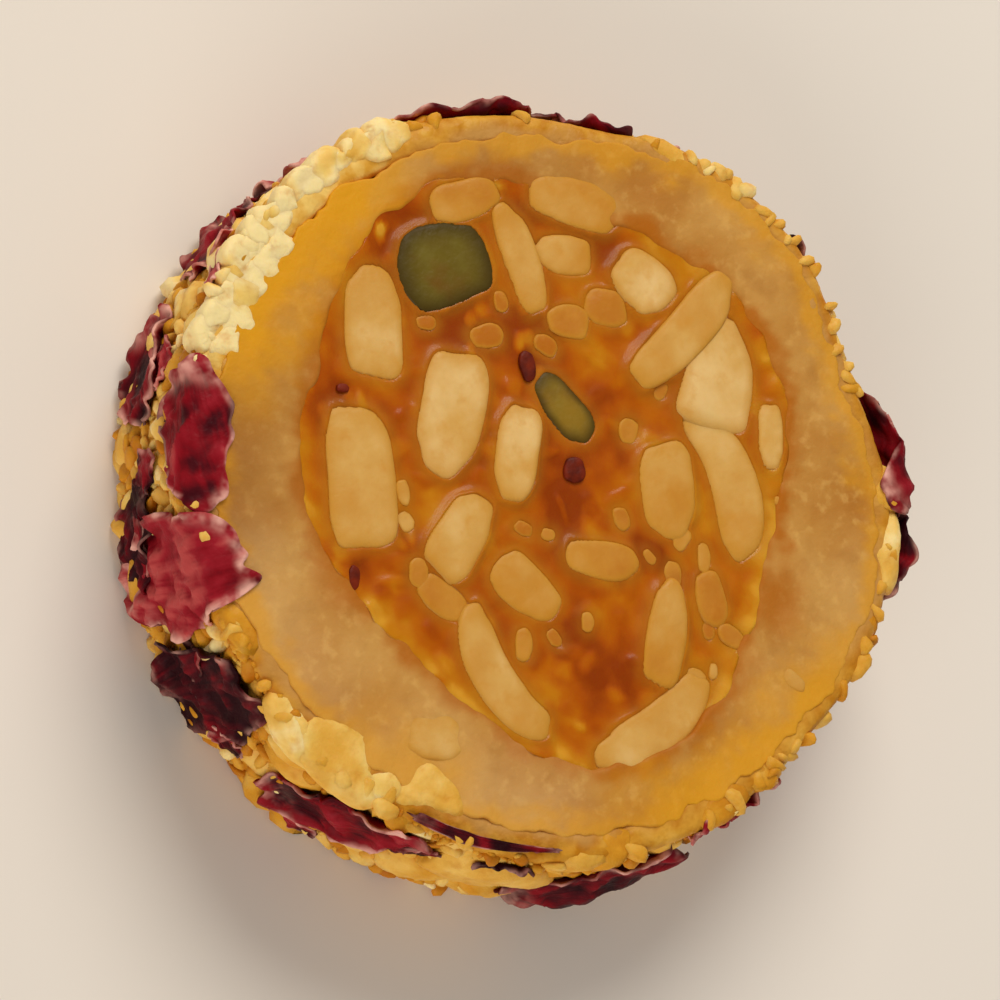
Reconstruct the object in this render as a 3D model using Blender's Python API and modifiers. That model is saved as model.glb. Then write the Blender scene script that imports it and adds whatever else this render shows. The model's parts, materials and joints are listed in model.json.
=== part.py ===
"""A slice of cashew roll: a filling of nuts in amber jelly, a ring of cashew paste round it,
and a coat of chopped nuts and dried rose petals. It lies on its lower cut, with the roll's axis up +Z."""

import math
import random

import bmesh
import bpy
from mathutils import Matrix, Vector

MM = 0.001

# Driving dimensions of the slice
THICKNESS = 14.0 * MM
PASTE_RADIUS = 24.9 * MM
FILLING_RADIUS = 19.3 * MM
COAT_RADIUS = 26.2 * MM  # the syrup that holds the coat, without the nuts and petals on it
PIECE_GAP = 0.3 * MM

# The cut faces: the filling sinks below the paste's cut, and its nuts stand up to it
FILLING_SINK = 0.8 * MM
NUT_SINKS = (-0.15 * MM, 0.25 * MM)  # how far below the cut the nuts lie, from and to
CUT_EDGE_ROUND = 0.5 * MM

# A rolled slice isn't round. Each lobe of an outline: waves in a turn, share of the radius, angle of its peak
PASTE_LOBES = ((1, 0.018, 58), (2, 0.008, 79), (3, 0.007, 14))
COAT_LOBES = ((2, 0.006, 10), (3, 0.007, 205))
FILLING_LOBES = ((1, 0.085, 118), (2, 0.058, 352), (3, 0.030, 347), (4, 0.050, 355), (5, 0.015, 30))
OUTLINE_POINTS = 60

# Nuts in the upper cut: x, y, length and width in mm, turn and bend in degrees
UPPER_NUTS = (
    (-6.2, 15.3, 11.4, 3.6, -64, 24),
    (-1.4, 16.4, 7.6, 5.6, -32, 0),
    (4.0, 18.4, 4.8, 2.2, -26, 0),
    (5.6, 13.4, 12.4, 3.9, -8, 78),
    (4.4, 8.9, 7.4, 4.3, -24, 0),
    (-9.8, 14.2, 5.0, 4.2, 20, 0),
    (-9.2, 10.6, 3.6, 2.8, 60, 0),
    (-16.6, 12.4, 6.6, 3.4, 52, 0),
    (-13.8, 9.4, 4.6, 3.0, 64, 0),
    (-14.8, 6.0, 8.6, 2.9, -8, 12),
    (-20.0, 4.6, 5.0, 2.7, 82, 0),
    (-15.2, -7.2, 8.0, 4.4, -26, 0),
    (-7.2, -4.6, 10.4, 4.5, -41, 20),
    (-2.5, -0.8, 7.4, 3.3, -36, 0),
    (-5.4, -12.8, 10.6, 5.2, -22, 18),
    (1.1, -7.6, 6.6, 4.0, -58, 0),
    (6.3, -4.6, 6.0, 3.6, 24, 0),
    (7.2, 1.5, 5.6, 2.7, 58, 0),
    (14.0, 3.1, 6.8, 2.8, -38, 0),
    (18.8, 0.1, 11.4, 3.3, -80, 58),
    (10.8, -9.3, 11.6, 3.4, 6, -78),
    (4.4, -11.3, 4.6, 2.5, 28, 0),
    (12.6, 8.4, 4.2, 2.4, -14, 0),
)
UPPER_PISTACHIOS = (
    (-17.1, -0.1, 7.6, 5.6, 82, 0),
    (-3.9, 4.2, 6.0, 3.0, 18, 0),
)
LOWER_NUT_COUNT = 24
LOWER_NUT_SIZES = ((5.6, 11.5), (3.0, 5.0))  # shortest and longest, narrowest and widest, in mm
LOWER_NUT_SEED = 12
NUT_SIDES = 11
NUT_RINGS = 6
NUT_BLUNTNESS = 0.72  # under 1 squares off the ends of a nut
NUT_DEPTH = 2.2 * MM

# Rose petals on the coat: angle and height of the middle, length, width, turn, and how far an edge curls out
PETALS = (
    (242, 11.3, 11.0, 6.6, 4, 0.7),
    (227, 4.4, 8.0, 5.6, 22, 0.6),
    (252, 3.9, 6.0, 5.0, -24, 0.5),
    (263, 8.2, 12.0, 7.0, 82, 0.6),
    (280, 6.8, 9.6, 5.6, 78, 1.2),
    (304, 7.0, 10.4, 7.2, 68, 0.8),
    (320, 12.8, 9.6, 2.4, -2, 0.3),
    (350, 5.0, 10.4, 7.2, 24, 0.7),
    (14, 9.8, 6.6, 4.6, -34, 0.8),
    (36, 5.0, 9.0, 6.0, -18, 0.8),
    (58, 11.8, 5.6, 3.4, 8, 1.0),
    (73, 11.0, 9.0, 5.4, -6, 1.5),
    (86, 4.2, 8.0, 5.6, 30, 0.7),
    (106, 10.4, 4.4, 4.2, -40, 0.8),
    (122, 5.0, 9.6, 6.4, 12, 0.9),
    (141, 11.4, 5.4, 4.2, 10, 1.0),
    (162, 10.8, 11.2, 5.0, -4, 0.9),
    (180, 4.4, 8.4, 5.8, -28, 0.8),
    (204, 5.6, 9.0, 6.2, 52, 0.8),
)
PETAL_THICKNESS = 0.8 * MM
PETAL_LIFT = 0.7 * MM
PETAL_GRID = (6, 4)

# Chopped nuts on the coat, in staggered rows up its height
CHOP_ROWS = 4
CHOPS_IN_ROW = 38
CHOP_JITTER = 0.34  # share of the space between two bits
CHOP_SIZES = ((3.0, 5.6), (2.3, 3.6), (1.8, 2.7))  # along, across and through, each from and to, in mm
CHOP_SEED = 31


def wavy_radius(mean, lobes, angle):
    """The radius of an uneven round outline at an angle."""
    waves = (share * math.cos(order * (angle - math.radians(peak))) for order, share, peak in lobes)
    return mean * (1.0 + sum(waves))


def paste_radius(angle):
    return wavy_radius(PASTE_RADIUS, PASTE_LOBES, angle)


def filling_radius(angle):
    return wavy_radius(FILLING_RADIUS, FILLING_LOBES, angle)


def coat_radius(angle):
    return wavy_radius(COAT_RADIUS, COAT_LOBES, angle)


def food_material(name, colour, roughness):
    material = bpy.data.materials.new(name)
    material.use_nodes = True
    shader = material.node_tree.nodes["Principled BSDF"]
    shader.inputs["Base Color"].default_value = (*colour, 1.0)
    shader.inputs["Roughness"].default_value = roughness
    shader.inputs["Metallic"].default_value = 0.0
    return material


def new_collection(name):
    collection = bpy.data.collections.new(name)
    bpy.context.scene.collection.children.link(collection)
    return collection


def mesh_object(name, bm, collection):
    """A mesh object made from a bmesh, which is freed."""
    mesh = bpy.data.meshes.new(name)
    bm.to_mesh(mesh)
    bm.free()
    made = bpy.data.objects.new(name, mesh)
    collection.objects.link(made)
    return made


def outline_slab(name, radii, low, high, collection):
    """A slab between two heights, out to one ring of points, and with a second ring a hole inside it."""
    curve = bpy.data.curves.new(name, "CURVE")
    curve.dimensions = "2D"
    curve.fill_mode = "BOTH"
    curve.extrude = (high - low) / 2
    for radius_at in radii:
        spline = curve.splines.new("POLY")
        spline.points.add(OUTLINE_POINTS - 1)
        spline.use_cyclic_u = True
        for i, point in enumerate(spline.points):
            angle = math.tau * i / OUTLINE_POINTS
            radius = radius_at(angle)
            point.co = (radius * math.cos(angle), radius * math.sin(angle), 0.0, 1.0)
    outline = bpy.data.objects.new(name + "_outline", curve)
    collection.objects.link(outline)
    outline.location.z = (low + high) / 2
    bpy.context.view_layer.update()
    slab_mesh = bpy.data.meshes.new_from_object(outline.evaluated_get(bpy.context.evaluated_depsgraph_get()))
    slab_mesh.transform(outline.matrix_world)
    bpy.data.objects.remove(outline)
    bm = bmesh.new()
    bm.from_mesh(slab_mesh)
    bpy.data.meshes.remove(slab_mesh)
    bmesh.ops.remove_doubles(bm, verts=bm.verts, dist=0.001 * MM)
    bmesh.ops.recalc_face_normals(bm, faces=bm.faces)
    return mesh_object(name, bm, collection)


def round_cut_edges(slab):
    """Rounds the edges where the knife left the slab."""
    bevel = slab.modifiers.new("cut_edges", "BEVEL")
    bevel.width = CUT_EDGE_ROUND
    bevel.segments = 2
    bevel.limit_method = "ANGLE"


def bend_along(bm, length, bend):
    """Bends a shape that lies along X round an arc in the XY plane that turns by bend in the given length."""
    if bend == 0:
        return
    arc_radius = length / math.radians(bend)
    for vert in bm.verts:
        turn = vert.co.x / arc_radius
        reach = arc_radius + vert.co.y
        vert.co.x = reach * math.sin(turn)
        vert.co.y = reach * math.cos(turn) - arc_radius
    centre = sum((vert.co for vert in bm.verts), Vector()) / len(bm.verts)
    bmesh.ops.translate(bm, verts=bm.verts, vec=(0.0, -centre.y, 0.0))


def knife_cut(bm, height, upper):
    """Cuts off what lies above an upper cut or below a lower one, and closes what was closed."""
    everything = bm.verts[:] + bm.edges[:] + bm.faces[:]
    was_closed = all(edge.is_manifold for edge in bm.edges)
    cut = bmesh.ops.bisect_plane(
        bm,
        geom=everything,
        dist=0.001 * MM,
        plane_co=(0.0, 0.0, height),
        plane_no=(0.0, 0.0, 1.0 if upper else -1.0),
        clear_outer=True,
    )
    rim = [item for item in cut["geom_cut"] if isinstance(item, bmesh.types.BMEdge)]
    if was_closed and rim:
        bmesh.ops.edgeloop_fill(bm, edges=rim)


def nut_piece(index, place, upper, collection):
    """A blunt or crescent nut in the upper or the lower cut, flat where the knife went through it."""
    x, y, length, width, turn, bend = place
    # Steps of the golden ratio give every nut its own depth, so that no two cut faces lie in one plane
    share = (0.618034 * index) % 1.0
    sink = NUT_SINKS[0] + share * (NUT_SINKS[1] - NUT_SINKS[0]) if upper else 0.05 * MM + share * NUT_SINKS[1]
    cut_height = THICKNESS - sink if upper else sink
    bm = bmesh.new()
    bmesh.ops.create_uvsphere(bm, u_segments=NUT_SIDES, v_segments=NUT_RINGS, radius=1.0)
    for vert in bm.verts:
        for axis in (0, 1):
            vert.co[axis] = math.copysign(abs(vert.co[axis]) ** NUT_BLUNTNESS, vert.co[axis])
    bmesh.ops.scale(bm, verts=bm.verts, vec=(length * MM / 2, width * MM / 2, NUT_DEPTH))
    bend_along(bm, length * MM, bend)
    middle = cut_height + 0.35 * NUT_DEPTH * (-1 if upper else 1)
    placing = Matrix.Translation((x * MM, y * MM, middle)) @ Matrix.Rotation(math.radians(turn), 4, "Z")
    bmesh.ops.transform(bm, matrix=placing, verts=bm.verts)
    knife_cut(bm, cut_height, upper)
    return mesh_object(f"{'upper' if upper else 'lower'}_nut_{index}", bm, collection)


def lower_nuts():
    """Nuts for the lower cut, spread evenly by a spiral, each turned and sized by a seeded draw."""
    draw = random.Random(LOWER_NUT_SEED)
    golden_angle = math.radians(137.508)
    lengths, widths = LOWER_NUT_SIZES
    nuts = []
    for i in range(LOWER_NUT_COUNT):
        angle = golden_angle * i
        reach = 0.80 * filling_radius(angle) / MM * math.sqrt((i + 0.35) / LOWER_NUT_COUNT)
        along_ring = math.degrees(angle) + 90 if i > LOWER_NUT_COUNT / 2 else draw.uniform(0, 180)
        length = draw.uniform(*lengths) * (0.8 if i < LOWER_NUT_COUNT / 2 else 0.7)
        bend = -draw.uniform(10, 50) if i > LOWER_NUT_COUNT / 2 else draw.uniform(-20, 20)
        place = (reach * math.cos(angle), reach * math.sin(angle))
        nuts.append((*place, length, draw.uniform(*widths), along_ring + draw.uniform(-16, 16), bend))
    return nuts


def apply_boolean(solid, operation, **operand):
    """Joins, cuts or clips a solid with another object or with a collection of them."""
    boolean = solid.modifiers.new(operation.lower(), "BOOLEAN")
    boolean.operation = operation
    boolean.solver = "MANIFOLD"
    for setting, value in operand.items():
        setattr(boolean, setting, value)
    bpy.context.view_layer.update()
    result = bpy.data.meshes.new_from_object(solid.evaluated_get(bpy.context.evaluated_depsgraph_get()))
    solid.modifiers.clear()
    solid.data = result


def fuse(core, pieces):
    """Joins every object of a collection to the core, and removes the collection."""
    apply_boolean(core, "UNION", operand_type="COLLECTION", collection=pieces)
    for piece in list(pieces.objects):
        bpy.data.objects.remove(piece)
    bpy.data.collections.remove(pieces)


def trim(solid, operation, radius_at):
    """Clips a solid to an upright outline, or cuts that outline out of it."""
    low, high = -2.0 * MM, THICKNESS + 2.0 * MM
    outline = outline_slab("trimming", (radius_at,), low, high, solid.users_collection[0])
    apply_boolean(solid, operation, object=outline)
    bpy.data.objects.remove(outline)
    keep_main_shell(solid)


def shell_volume(faces):
    """The volume inside a closed shell of triangles, negative for a hollow."""
    corners = ([vert.co for vert in face.verts] for face in faces)
    return sum(a.dot(b.cross(c)) for a, b, c in corners) / 6


def keep_main_shell(solid):
    """Drops loose scraps and fills sealed hollows, which leaves the one outer surface."""
    bm = bmesh.new()
    bm.from_mesh(solid.data)
    bmesh.ops.triangulate(bm, faces=bm.faces)
    unseen = set(bm.faces)
    shells = []
    while unseen:
        shell = {unseen.pop()}
        edge_of_shell = list(shell)
        while edge_of_shell:
            face = edge_of_shell.pop()
            near = {other for edge in face.edges for other in edge.link_faces} & unseen
            unseen -= near
            shell |= near
            edge_of_shell.extend(near)
        shells.append(shell)
    main = max(shells, key=shell_volume)
    bmesh.ops.delete(bm, geom=[face for face in bm.faces if face not in main], context="FACES")
    bm.to_mesh(solid.data)
    bm.free()


def build_paste(collection):
    ring = outline_slab("cashew_paste", (paste_radius, paste_bore), 0.0, THICKNESS, collection)
    round_cut_edges(ring)
    ring.data.materials.append(food_material("cashew_paste", (0.50, 0.29, 0.11), 0.5))
    return ring


def paste_bore(angle):
    return filling_radius(angle) + PIECE_GAP


def beyond_filling(angle):
    return filling_radius(angle) + 1.0 * MM


def build_filling(collection):
    low, high = FILLING_SINK, THICKNESS - FILLING_SINK
    filling = outline_slab("nut_filling", (beyond_filling,), low, high, collection)
    pieces = new_collection("filling_nuts")
    for i, place in enumerate(UPPER_NUTS + UPPER_PISTACHIOS):
        nut_piece(i, place, True, pieces)
    for i, place in enumerate(lower_nuts()):
        nut_piece(i, place, False, pieces)
    fuse(filling, pieces)
    trim(filling, "INTERSECT", filling_radius)
    filling.data.materials.append(food_material("amber_jelly", (0.47, 0.13, 0.01), 0.25))
    return filling


def petal(name, place, collection):
    """A dried petal that lies round the coat, a thin wavy sheet whose far edge curls out."""
    angle, height, length, width, turn, curl = place
    bm = bmesh.new()
    bmesh.ops.create_grid(bm, x_segments=PETAL_GRID[0], y_segments=PETAL_GRID[1], size=1.0)
    bmesh.ops.triangulate(bm, faces=bm.faces)
    tilt = math.radians(turn)
    for vert in bm.verts:
        u, v = vert.co.x, vert.co.y
        narrow = 1.0 - 0.55 * abs(u) ** 2.6 - 0.18 * u
        along = length * MM / 2 * u * (1.0 - 0.18 * v * v)
        across = width * MM / 2 * v * narrow
        ruffle = 0.22 * math.sin(3.1 * u + angle) * math.cos(2.3 * v - angle)
        lift = PETAL_LIFT + (ruffle + 0.45 * curl * max(v, 0.0) ** 3 + 0.35 * curl * abs(u) ** 4) * MM
        round_way = along * math.cos(tilt) - across * math.sin(tilt)
        up = height * MM + along * math.sin(tilt) + across * math.cos(tilt)
        here = math.radians(angle) + round_way / COAT_RADIUS
        reach = coat_radius(here) + lift
        vert.co = (reach * math.cos(here), reach * math.sin(here), up)
    knife_cut(bm, 0.4 * MM, False)
    knife_cut(bm, THICKNESS + 0.1 * MM, True)
    sheet = mesh_object(name, bm, collection)
    solidify = sheet.modifiers.new("petal_thickness", "SOLIDIFY")
    solidify.thickness = PETAL_THICKNESS
    solidify.offset = 0.0
    return sheet


def under_a_petal(angle, height):
    """Whether a place on the coat lies well inside a petal, where no chopped nut shows."""
    for petal_angle, petal_height, length, width, turn, _ in PETALS:
        apart = (math.degrees(angle) - petal_angle + 180) % 360 - 180
        round_way = math.radians(apart) * COAT_RADIUS / MM
        up = height / MM - petal_height
        tilt = math.radians(turn)
        along = round_way * math.cos(tilt) + up * math.sin(tilt)
        across = up * math.cos(tilt) - round_way * math.sin(tilt)
        if (2 * along / length) ** 2 + (2 * across / width) ** 2 < 0.75:
            return True
    return False


def chopped_nut(name, angle, height, draw, collection):
    """A bit of chopped nut, half sunk in the coat."""
    sizes = [draw.uniform(*span) * MM / 2 for span in CHOP_SIZES]
    bm = bmesh.new()
    bmesh.ops.create_icosphere(bm, subdivisions=1, radius=1.0)
    for vert in bm.verts:
        vert.co *= draw.uniform(0.82, 1.14)
    bmesh.ops.scale(bm, verts=bm.verts, vec=(sizes[0], sizes[1], sizes[2]))
    turn, lean = draw.uniform(0, math.tau), draw.uniform(-0.35, 0.35)
    lie = Matrix.Rotation(turn, 4, "Z") @ Matrix.Rotation(lean, 4, "X")
    face_out = Matrix.Rotation(angle, 4, "Z") @ Matrix.Rotation(math.pi / 2, 4, "Y")
    reach = coat_radius(angle) - 0.15 * sizes[2]
    place = Matrix.Translation((reach * math.cos(angle), reach * math.sin(angle), height))
    bmesh.ops.transform(bm, matrix=place @ face_out @ lie, verts=bm.verts)
    knife_cut(bm, draw.uniform(0.1, 0.5) * MM, False)
    knife_cut(bm, THICKNESS + draw.uniform(-0.3, 0.15) * MM, True)
    return mesh_object(name, bm, collection)


def coat_bore(angle):
    return paste_radius(angle) + PIECE_GAP


def build_coat(collection):
    coat = outline_slab("nut_petal_coat", (coat_radius,), 0.25 * MM, THICKNESS - 0.15 * MM, collection)
    pieces = new_collection("coat_pieces")
    for i, place in enumerate(PETALS):
        petal(f"petal_{i}", place, pieces)
    draw = random.Random(CHOP_SEED)
    for row in range(CHOP_ROWS):
        for i in range(CHOPS_IN_ROW):
            round_share = i + 0.5 * (row % 2) + draw.uniform(-CHOP_JITTER, CHOP_JITTER)
            up_share = row + 0.5 + draw.uniform(-CHOP_JITTER, CHOP_JITTER)
            angle = math.tau * round_share / CHOPS_IN_ROW
            height = THICKNESS * up_share / CHOP_ROWS
            if not under_a_petal(angle, height):
                chopped_nut(f"chopped_nut_{row}_{i}", angle, height, draw, pieces)
    fuse(coat, pieces)
    trim(coat, "DIFFERENCE", coat_bore)
    coat.data.materials.append(food_material("nut_petal_coat", (0.72, 0.42, 0.12), 0.5))
    return coat


def centre_on_box(solids):
    """Moves the slice sideways so that the middle of its box stands over the origin."""
    bpy.context.view_layer.update()
    graph = bpy.context.evaluated_depsgraph_get()
    corners = [Vector(corner) for solid in solids for corner in solid.evaluated_get(graph).bound_box]
    for axis in (0, 1):
        middle = (min(c[axis] for c in corners) + max(c[axis] for c in corners)) / 2
        for solid in solids:
            solid.location[axis] = -middle


def build():
    for leftover in list(bpy.data.objects):
        bpy.data.objects.remove(leftover)
    collection = new_collection("cashew_roll_slice")
    solids = [build_filling(collection), build_paste(collection), build_coat(collection)]
    for solid in solids:
        solid.data.shade_flat()
    centre_on_box(solids)


build()
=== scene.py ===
import json
import math
import random

import bmesh
import bpy
import numpy as np
from mathutils import Matrix, Vector

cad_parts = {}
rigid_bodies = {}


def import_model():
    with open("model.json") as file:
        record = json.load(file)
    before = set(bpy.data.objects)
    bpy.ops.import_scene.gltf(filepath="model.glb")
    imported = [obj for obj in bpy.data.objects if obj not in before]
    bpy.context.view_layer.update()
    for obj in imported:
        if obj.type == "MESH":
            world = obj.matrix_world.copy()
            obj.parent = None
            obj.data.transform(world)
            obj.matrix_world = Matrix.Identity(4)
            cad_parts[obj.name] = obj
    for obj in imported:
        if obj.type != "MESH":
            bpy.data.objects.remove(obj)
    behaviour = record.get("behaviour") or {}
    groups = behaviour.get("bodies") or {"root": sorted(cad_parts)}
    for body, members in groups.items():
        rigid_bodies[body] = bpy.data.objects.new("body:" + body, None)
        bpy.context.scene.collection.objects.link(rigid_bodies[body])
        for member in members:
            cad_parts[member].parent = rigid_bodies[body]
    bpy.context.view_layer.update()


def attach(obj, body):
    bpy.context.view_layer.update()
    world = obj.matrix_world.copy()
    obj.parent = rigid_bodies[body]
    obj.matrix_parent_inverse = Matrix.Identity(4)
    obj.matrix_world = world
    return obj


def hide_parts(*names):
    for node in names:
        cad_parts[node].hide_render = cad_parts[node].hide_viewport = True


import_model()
mm = 0.001

# The slice, in mm and degrees. A lobe of an outline: waves in a turn, share of the radius, where it peaks
rollSlice = {
    "thickness": 14.0,
    "pasteRadius": 24.9,
    "pasteLobes": ((1, 0.018, 58), (2, 0.008, 79), (3, 0.007, 14)),
    "fillingRadius": 19.3,
    "fillingLobes": ((1, 0.085, 118), (2, 0.058, 352), (3, 0.030, 347), (4, 0.050, 355), (5, 0.015, 30)),
    "coatRadius": 26.2,
    "coatLobes": ((2, 0.006, 10), (3, 0.007, 205)),
    # where paste and coat stand out a little more: direction, half width, mm
    "fuller": ((54, 34, 1.3), (114, 32, 1.8)),
    "fullerCore": 0.2,  # share of that half width that has the whole height
}
thickness = rollSlice["thickness"]
otherCut = 50.0  # mm between the noise of the upper and the lower cut

# steps of the even shares that vary what has no draw of its own
shareSteps = {"blunt": 0.618, "taper": 0.381, "tone": 0.7548, "sink": 0.618034, "trim": 0.618}


# small helpers
def hexColour(code):  # a colour as painters write it, turned linear
    parts = [int(code[i : i + 2], 16) / 255 for i in (1, 3, 5)]
    linear = [c / 12.92 if c <= 0.04045 else ((c + 0.055) / 1.055) ** 2.4 for c in parts]
    return (*linear, 1.0)


def smoothStep(low, high, value):
    t = np.clip((value - low) / (high - low), 0.0, 1.0)
    return t * t * (3 - 2 * t)


def turnBetween(degrees, centre):  # the smaller angle between two directions, with its sign
    return (degrees - centre + 180) % 360 - 180


def nearTurn(degrees, centre, none, full):  # 0 at one turn away from a direction, 1 at the other
    return smoothStep(none, full, np.abs(turnBetween(degrees, centre)))


def evenShare(index, purpose):
    return (index * shareSteps[purpose]) % 1


def outlineRadius(kind, angle):  # radians in, mm out
    share = 1.0
    for order, size, peak in rollSlice[kind + "Lobes"]:
        share = share + size * np.cos(order * (angle - math.radians(peak)))
    radius = rollSlice[kind + "Radius"] * share
    for centre, half, size in rollSlice["fuller"] if kind != "filling" else ():
        radius = radius + size * nearTurn(np.degrees(angle), centre, half, rollSlice["fullerCore"] * half)
    return radius


def ringAt(radius, angle, height=0.0):  # points of a curve round the axis
    return np.stack([radius * np.cos(angle), radius * np.sin(angle), height + np.zeros_like(angle)], 1)


def spotAt(radius, angle, *others):  # the same for one point
    return (float(radius) * math.cos(angle), float(radius) * math.sin(angle), *others)


def waveNoise(points, wavelength, seed, waves=22):  # smooth noise from -1 to 1, the same on each run
    draw = np.random.default_rng(seed)
    total = np.zeros(len(points))
    for _ in range(waves):
        direction = draw.normal(size=3)
        direction *= math.tau / (wavelength * draw.uniform(0.7, 1.5) * np.linalg.norm(direction))
        total += np.sin(points @ direction + draw.uniform(0, math.tau))
    return total / math.sqrt(waves / 2) / 2


def mixedNoise(points, seed, waves):  # several noises in one, each with its height and its wavelength
    return sum(height * waveNoise(points, size, seed + k) for k, (height, size) in enumerate(waves))


def addObject(name, data):
    made = bpy.data.objects.new(name, data)
    bpy.context.scene.collection.objects.link(made)
    return made


def meshPiece(name, points, faces, finish=None, **attributes):  # points in mm; an attribute for each point
    mesh = bpy.data.meshes.new(name)
    mesh.from_pydata((np.asarray(points) * mm).tolist(), [], faces)
    mesh.validate()
    mesh.shade_smooth()
    addAttributes(mesh, **attributes)
    if finish:
        mesh.materials.append(finish)
    return addObject(name, mesh)


def addAttributes(mesh, **attributes):  # numbers or vectors
    for name, values in attributes.items():
        values = np.asarray(values, np.float32)
        kind, field = ("FLOAT_VECTOR", "vector") if values.ndim == 2 else ("FLOAT", "value")
        mesh.attributes.new(name, kind, "POINT").data.foreach_set(field, values.ravel())


def closeInto(bm, mesh):
    bm.to_mesh(mesh)
    bm.free()


def loftFaces(rings, steps, closedLoop):  # quads between rings of points that each run once round
    faces = []
    for ring in range(rings if closedLoop else rings - 1):
        after = (ring + 1) % rings
        for i in range(steps):
            j = (i + 1) % steps
            faces.append((ring * steps + i, ring * steps + j, after * steps + j, after * steps + i))
    return faces


def applyTree(piece, tree, **inputs):  # runs a node tree on a piece and keeps the result as a plain mesh
    modifier = piece.modifiers.new(tree.name, "NODES")
    modifier.node_group = tree
    sockets = {item.name: item.identifier for item in tree.interface.items_tree if item.item_type == "SOCKET"}
    for label, value in inputs.items():
        modifier[sockets[label.replace("_", " ")]] = value
    bpy.context.view_layer.update()
    graph = bpy.context.evaluated_depsgraph_get()
    result = bpy.data.meshes.new_from_object(piece.evaluated_get(graph))
    piece.modifiers.clear()
    if piece.type == "MESH":
        piece.data = result
        return piece
    plain = addObject(piece.name + "Mesh", result)
    bpy.data.objects.remove(piece)
    return plain


class NodeSketch:  # a short way to place and join nodes
    def __init__(self, tree):
        self.tree = tree
        self.column = 0

    def add(self, kind, **values):
        node = self.tree.nodes.new(kind)
        self.column += 1
        node.location = (180 * (self.column % 12), -220 * (self.column // 12))
        return self.feed(node, **values)

    def feed(self, node, **values):  # settings first, then sockets with a capital, or in0, in1 by place
        for key, value in values.items():
            byPlace = key[:2] == "in" and key[2:].isdigit()
            if key[0].islower() and not byPlace:
                setattr(node, key, value)
                continue
            socket = node.inputs[int(key[2:])] if byPlace else node.inputs[key.replace("_", " ")]
            if isinstance(value, bpy.types.NodeSocket):
                self.tree.links.new(value, socket)
            else:
                socket.default_value = value
        return node

    def first(self, kind, **values):  # the first output of a new node
        return self.add(kind, **values).outputs[0]

    def math(self, operation, a, b=0.0, c=0.0, clamp=False):
        return self.first("ShaderNodeMath", operation=operation, use_clamp=clamp, in0=a, in1=b, in2=c)

    def scaled(self, vector, length):
        node = self.add("ShaderNodeVectorMath", operation="SCALE", in0=vector, Scale=length)
        return node.outputs["Vector"]


def floats(*labels):
    return dict.fromkeys(labels, "Float")


def newTree(name, kind, inputs, result):  # inputs: the kind of socket for each label
    tree = bpy.data.node_groups.new(name, kind)
    for label, socket in inputs.items():
        tree.interface.new_socket(label, in_out="INPUT", socket_type="NodeSocket" + socket)
    tree.interface.new_socket("Result", in_out="OUTPUT", socket_type="NodeSocket" + result)
    sketch = NodeSketch(tree)
    return tree, sketch, sketch.add("NodeGroupInput").outputs, sketch.add("NodeGroupOutput")


# Geometry Nodes trees that the pieces share
treeRules = {
    "noiseGain": 2.4,  # brings a noise texture to about -1 to 1
    "shapes": 8,  # different shapes of a bit
    "softCut": 0.0005,  # how softly a cut bit bends over, in metres
    "turns": ((-0.5, -0.5, 0.0), (0.5, 0.5, 6.2832)),  # least and most turn of a scattered bit, in radians
    "density": 4.0e6,
}
bitInputs = {
    "Geometry": "Geometry",
    "Shapes": "Collection",
    **floats("Low Cut", "High Cut"),
    "Seed": "Int",
    "Finish": "Material",
}


def noisePush(n, size, depth, detail, **settings):  # how far a noise pushes each point
    where = n.first("GeometryNodeInputPosition")
    scale = n.math("DIVIDE", 1.0, size)
    noise = n.first("ShaderNodeTexNoise", **settings, Vector=where, Scale=scale, Detail=detail)
    centred = n.math("MULTIPLY", n.math("SUBTRACT", noise, 0.5), treeRules["noiseGain"])
    return n.math("MULTIPLY", centred, depth)


def pushOut(n, geometry, push):  # moves a surface along its normal
    offset = n.scaled(n.first("GeometryNodeInputNormal"), push)
    return n.first("GeometryNodeSetPosition", Geometry=geometry, Offset=offset)


def paintOut(n, given, out, geometry):
    n.feed(out, Result=n.first("GeometryNodeSetMaterial", Geometry=geometry, Material=given["Finish"]))


def makeUnevenTree():  # pushes a surface in and out, at two sizes of bump
    labels = ("Broad Depth", "Broad Size", "Fine Depth", "Fine Size", "Seed")
    inputs = {"Geometry": "Geometry", **floats(*labels)}
    tree, n, given, out = newTree("unevenSurface", "GeometryNodeTree", inputs, "Geometry")
    pushes = []
    for label, detail in (("Broad", 1.0), ("Fine", 2.0)):
        size, depth = given[label + " Size"], given[label + " Depth"]
        pushes.append(noisePush(n, size, depth, detail, noise_dimensions="4D", W=given["Seed"]))
    n.feed(out, Result=pushOut(n, given["Geometry"], n.math("ADD", *pushes)))
    return tree


def placeBits(n, given, points, facing, ownTurn, size):  # a random shape on each point
    shapes = n.first("GeometryNodeCollectionInfo", transform_space="ORIGINAL", Collection=given["Shapes"],
                     Separate_Children=True, Reset_Children=True)
    last = treeRules["shapes"] - 1
    pick = n.add("FunctionNodeRandomValue", data_type="INT", in4=0, in5=last, Seed=given["Seed"])
    own = n.first("FunctionNodeEulerToRotation", Euler=ownTurn)
    turned = n.first("FunctionNodeRotateRotation", rotation_space="LOCAL", Rotation=facing, Rotate_By=own)
    return n.first("GeometryNodeInstanceOnPoints", Points=points, Instance=shapes, Pick_Instance=True,
                   Instance_Index=pick.outputs[2], Rotation=turned, Scale=size)


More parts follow.
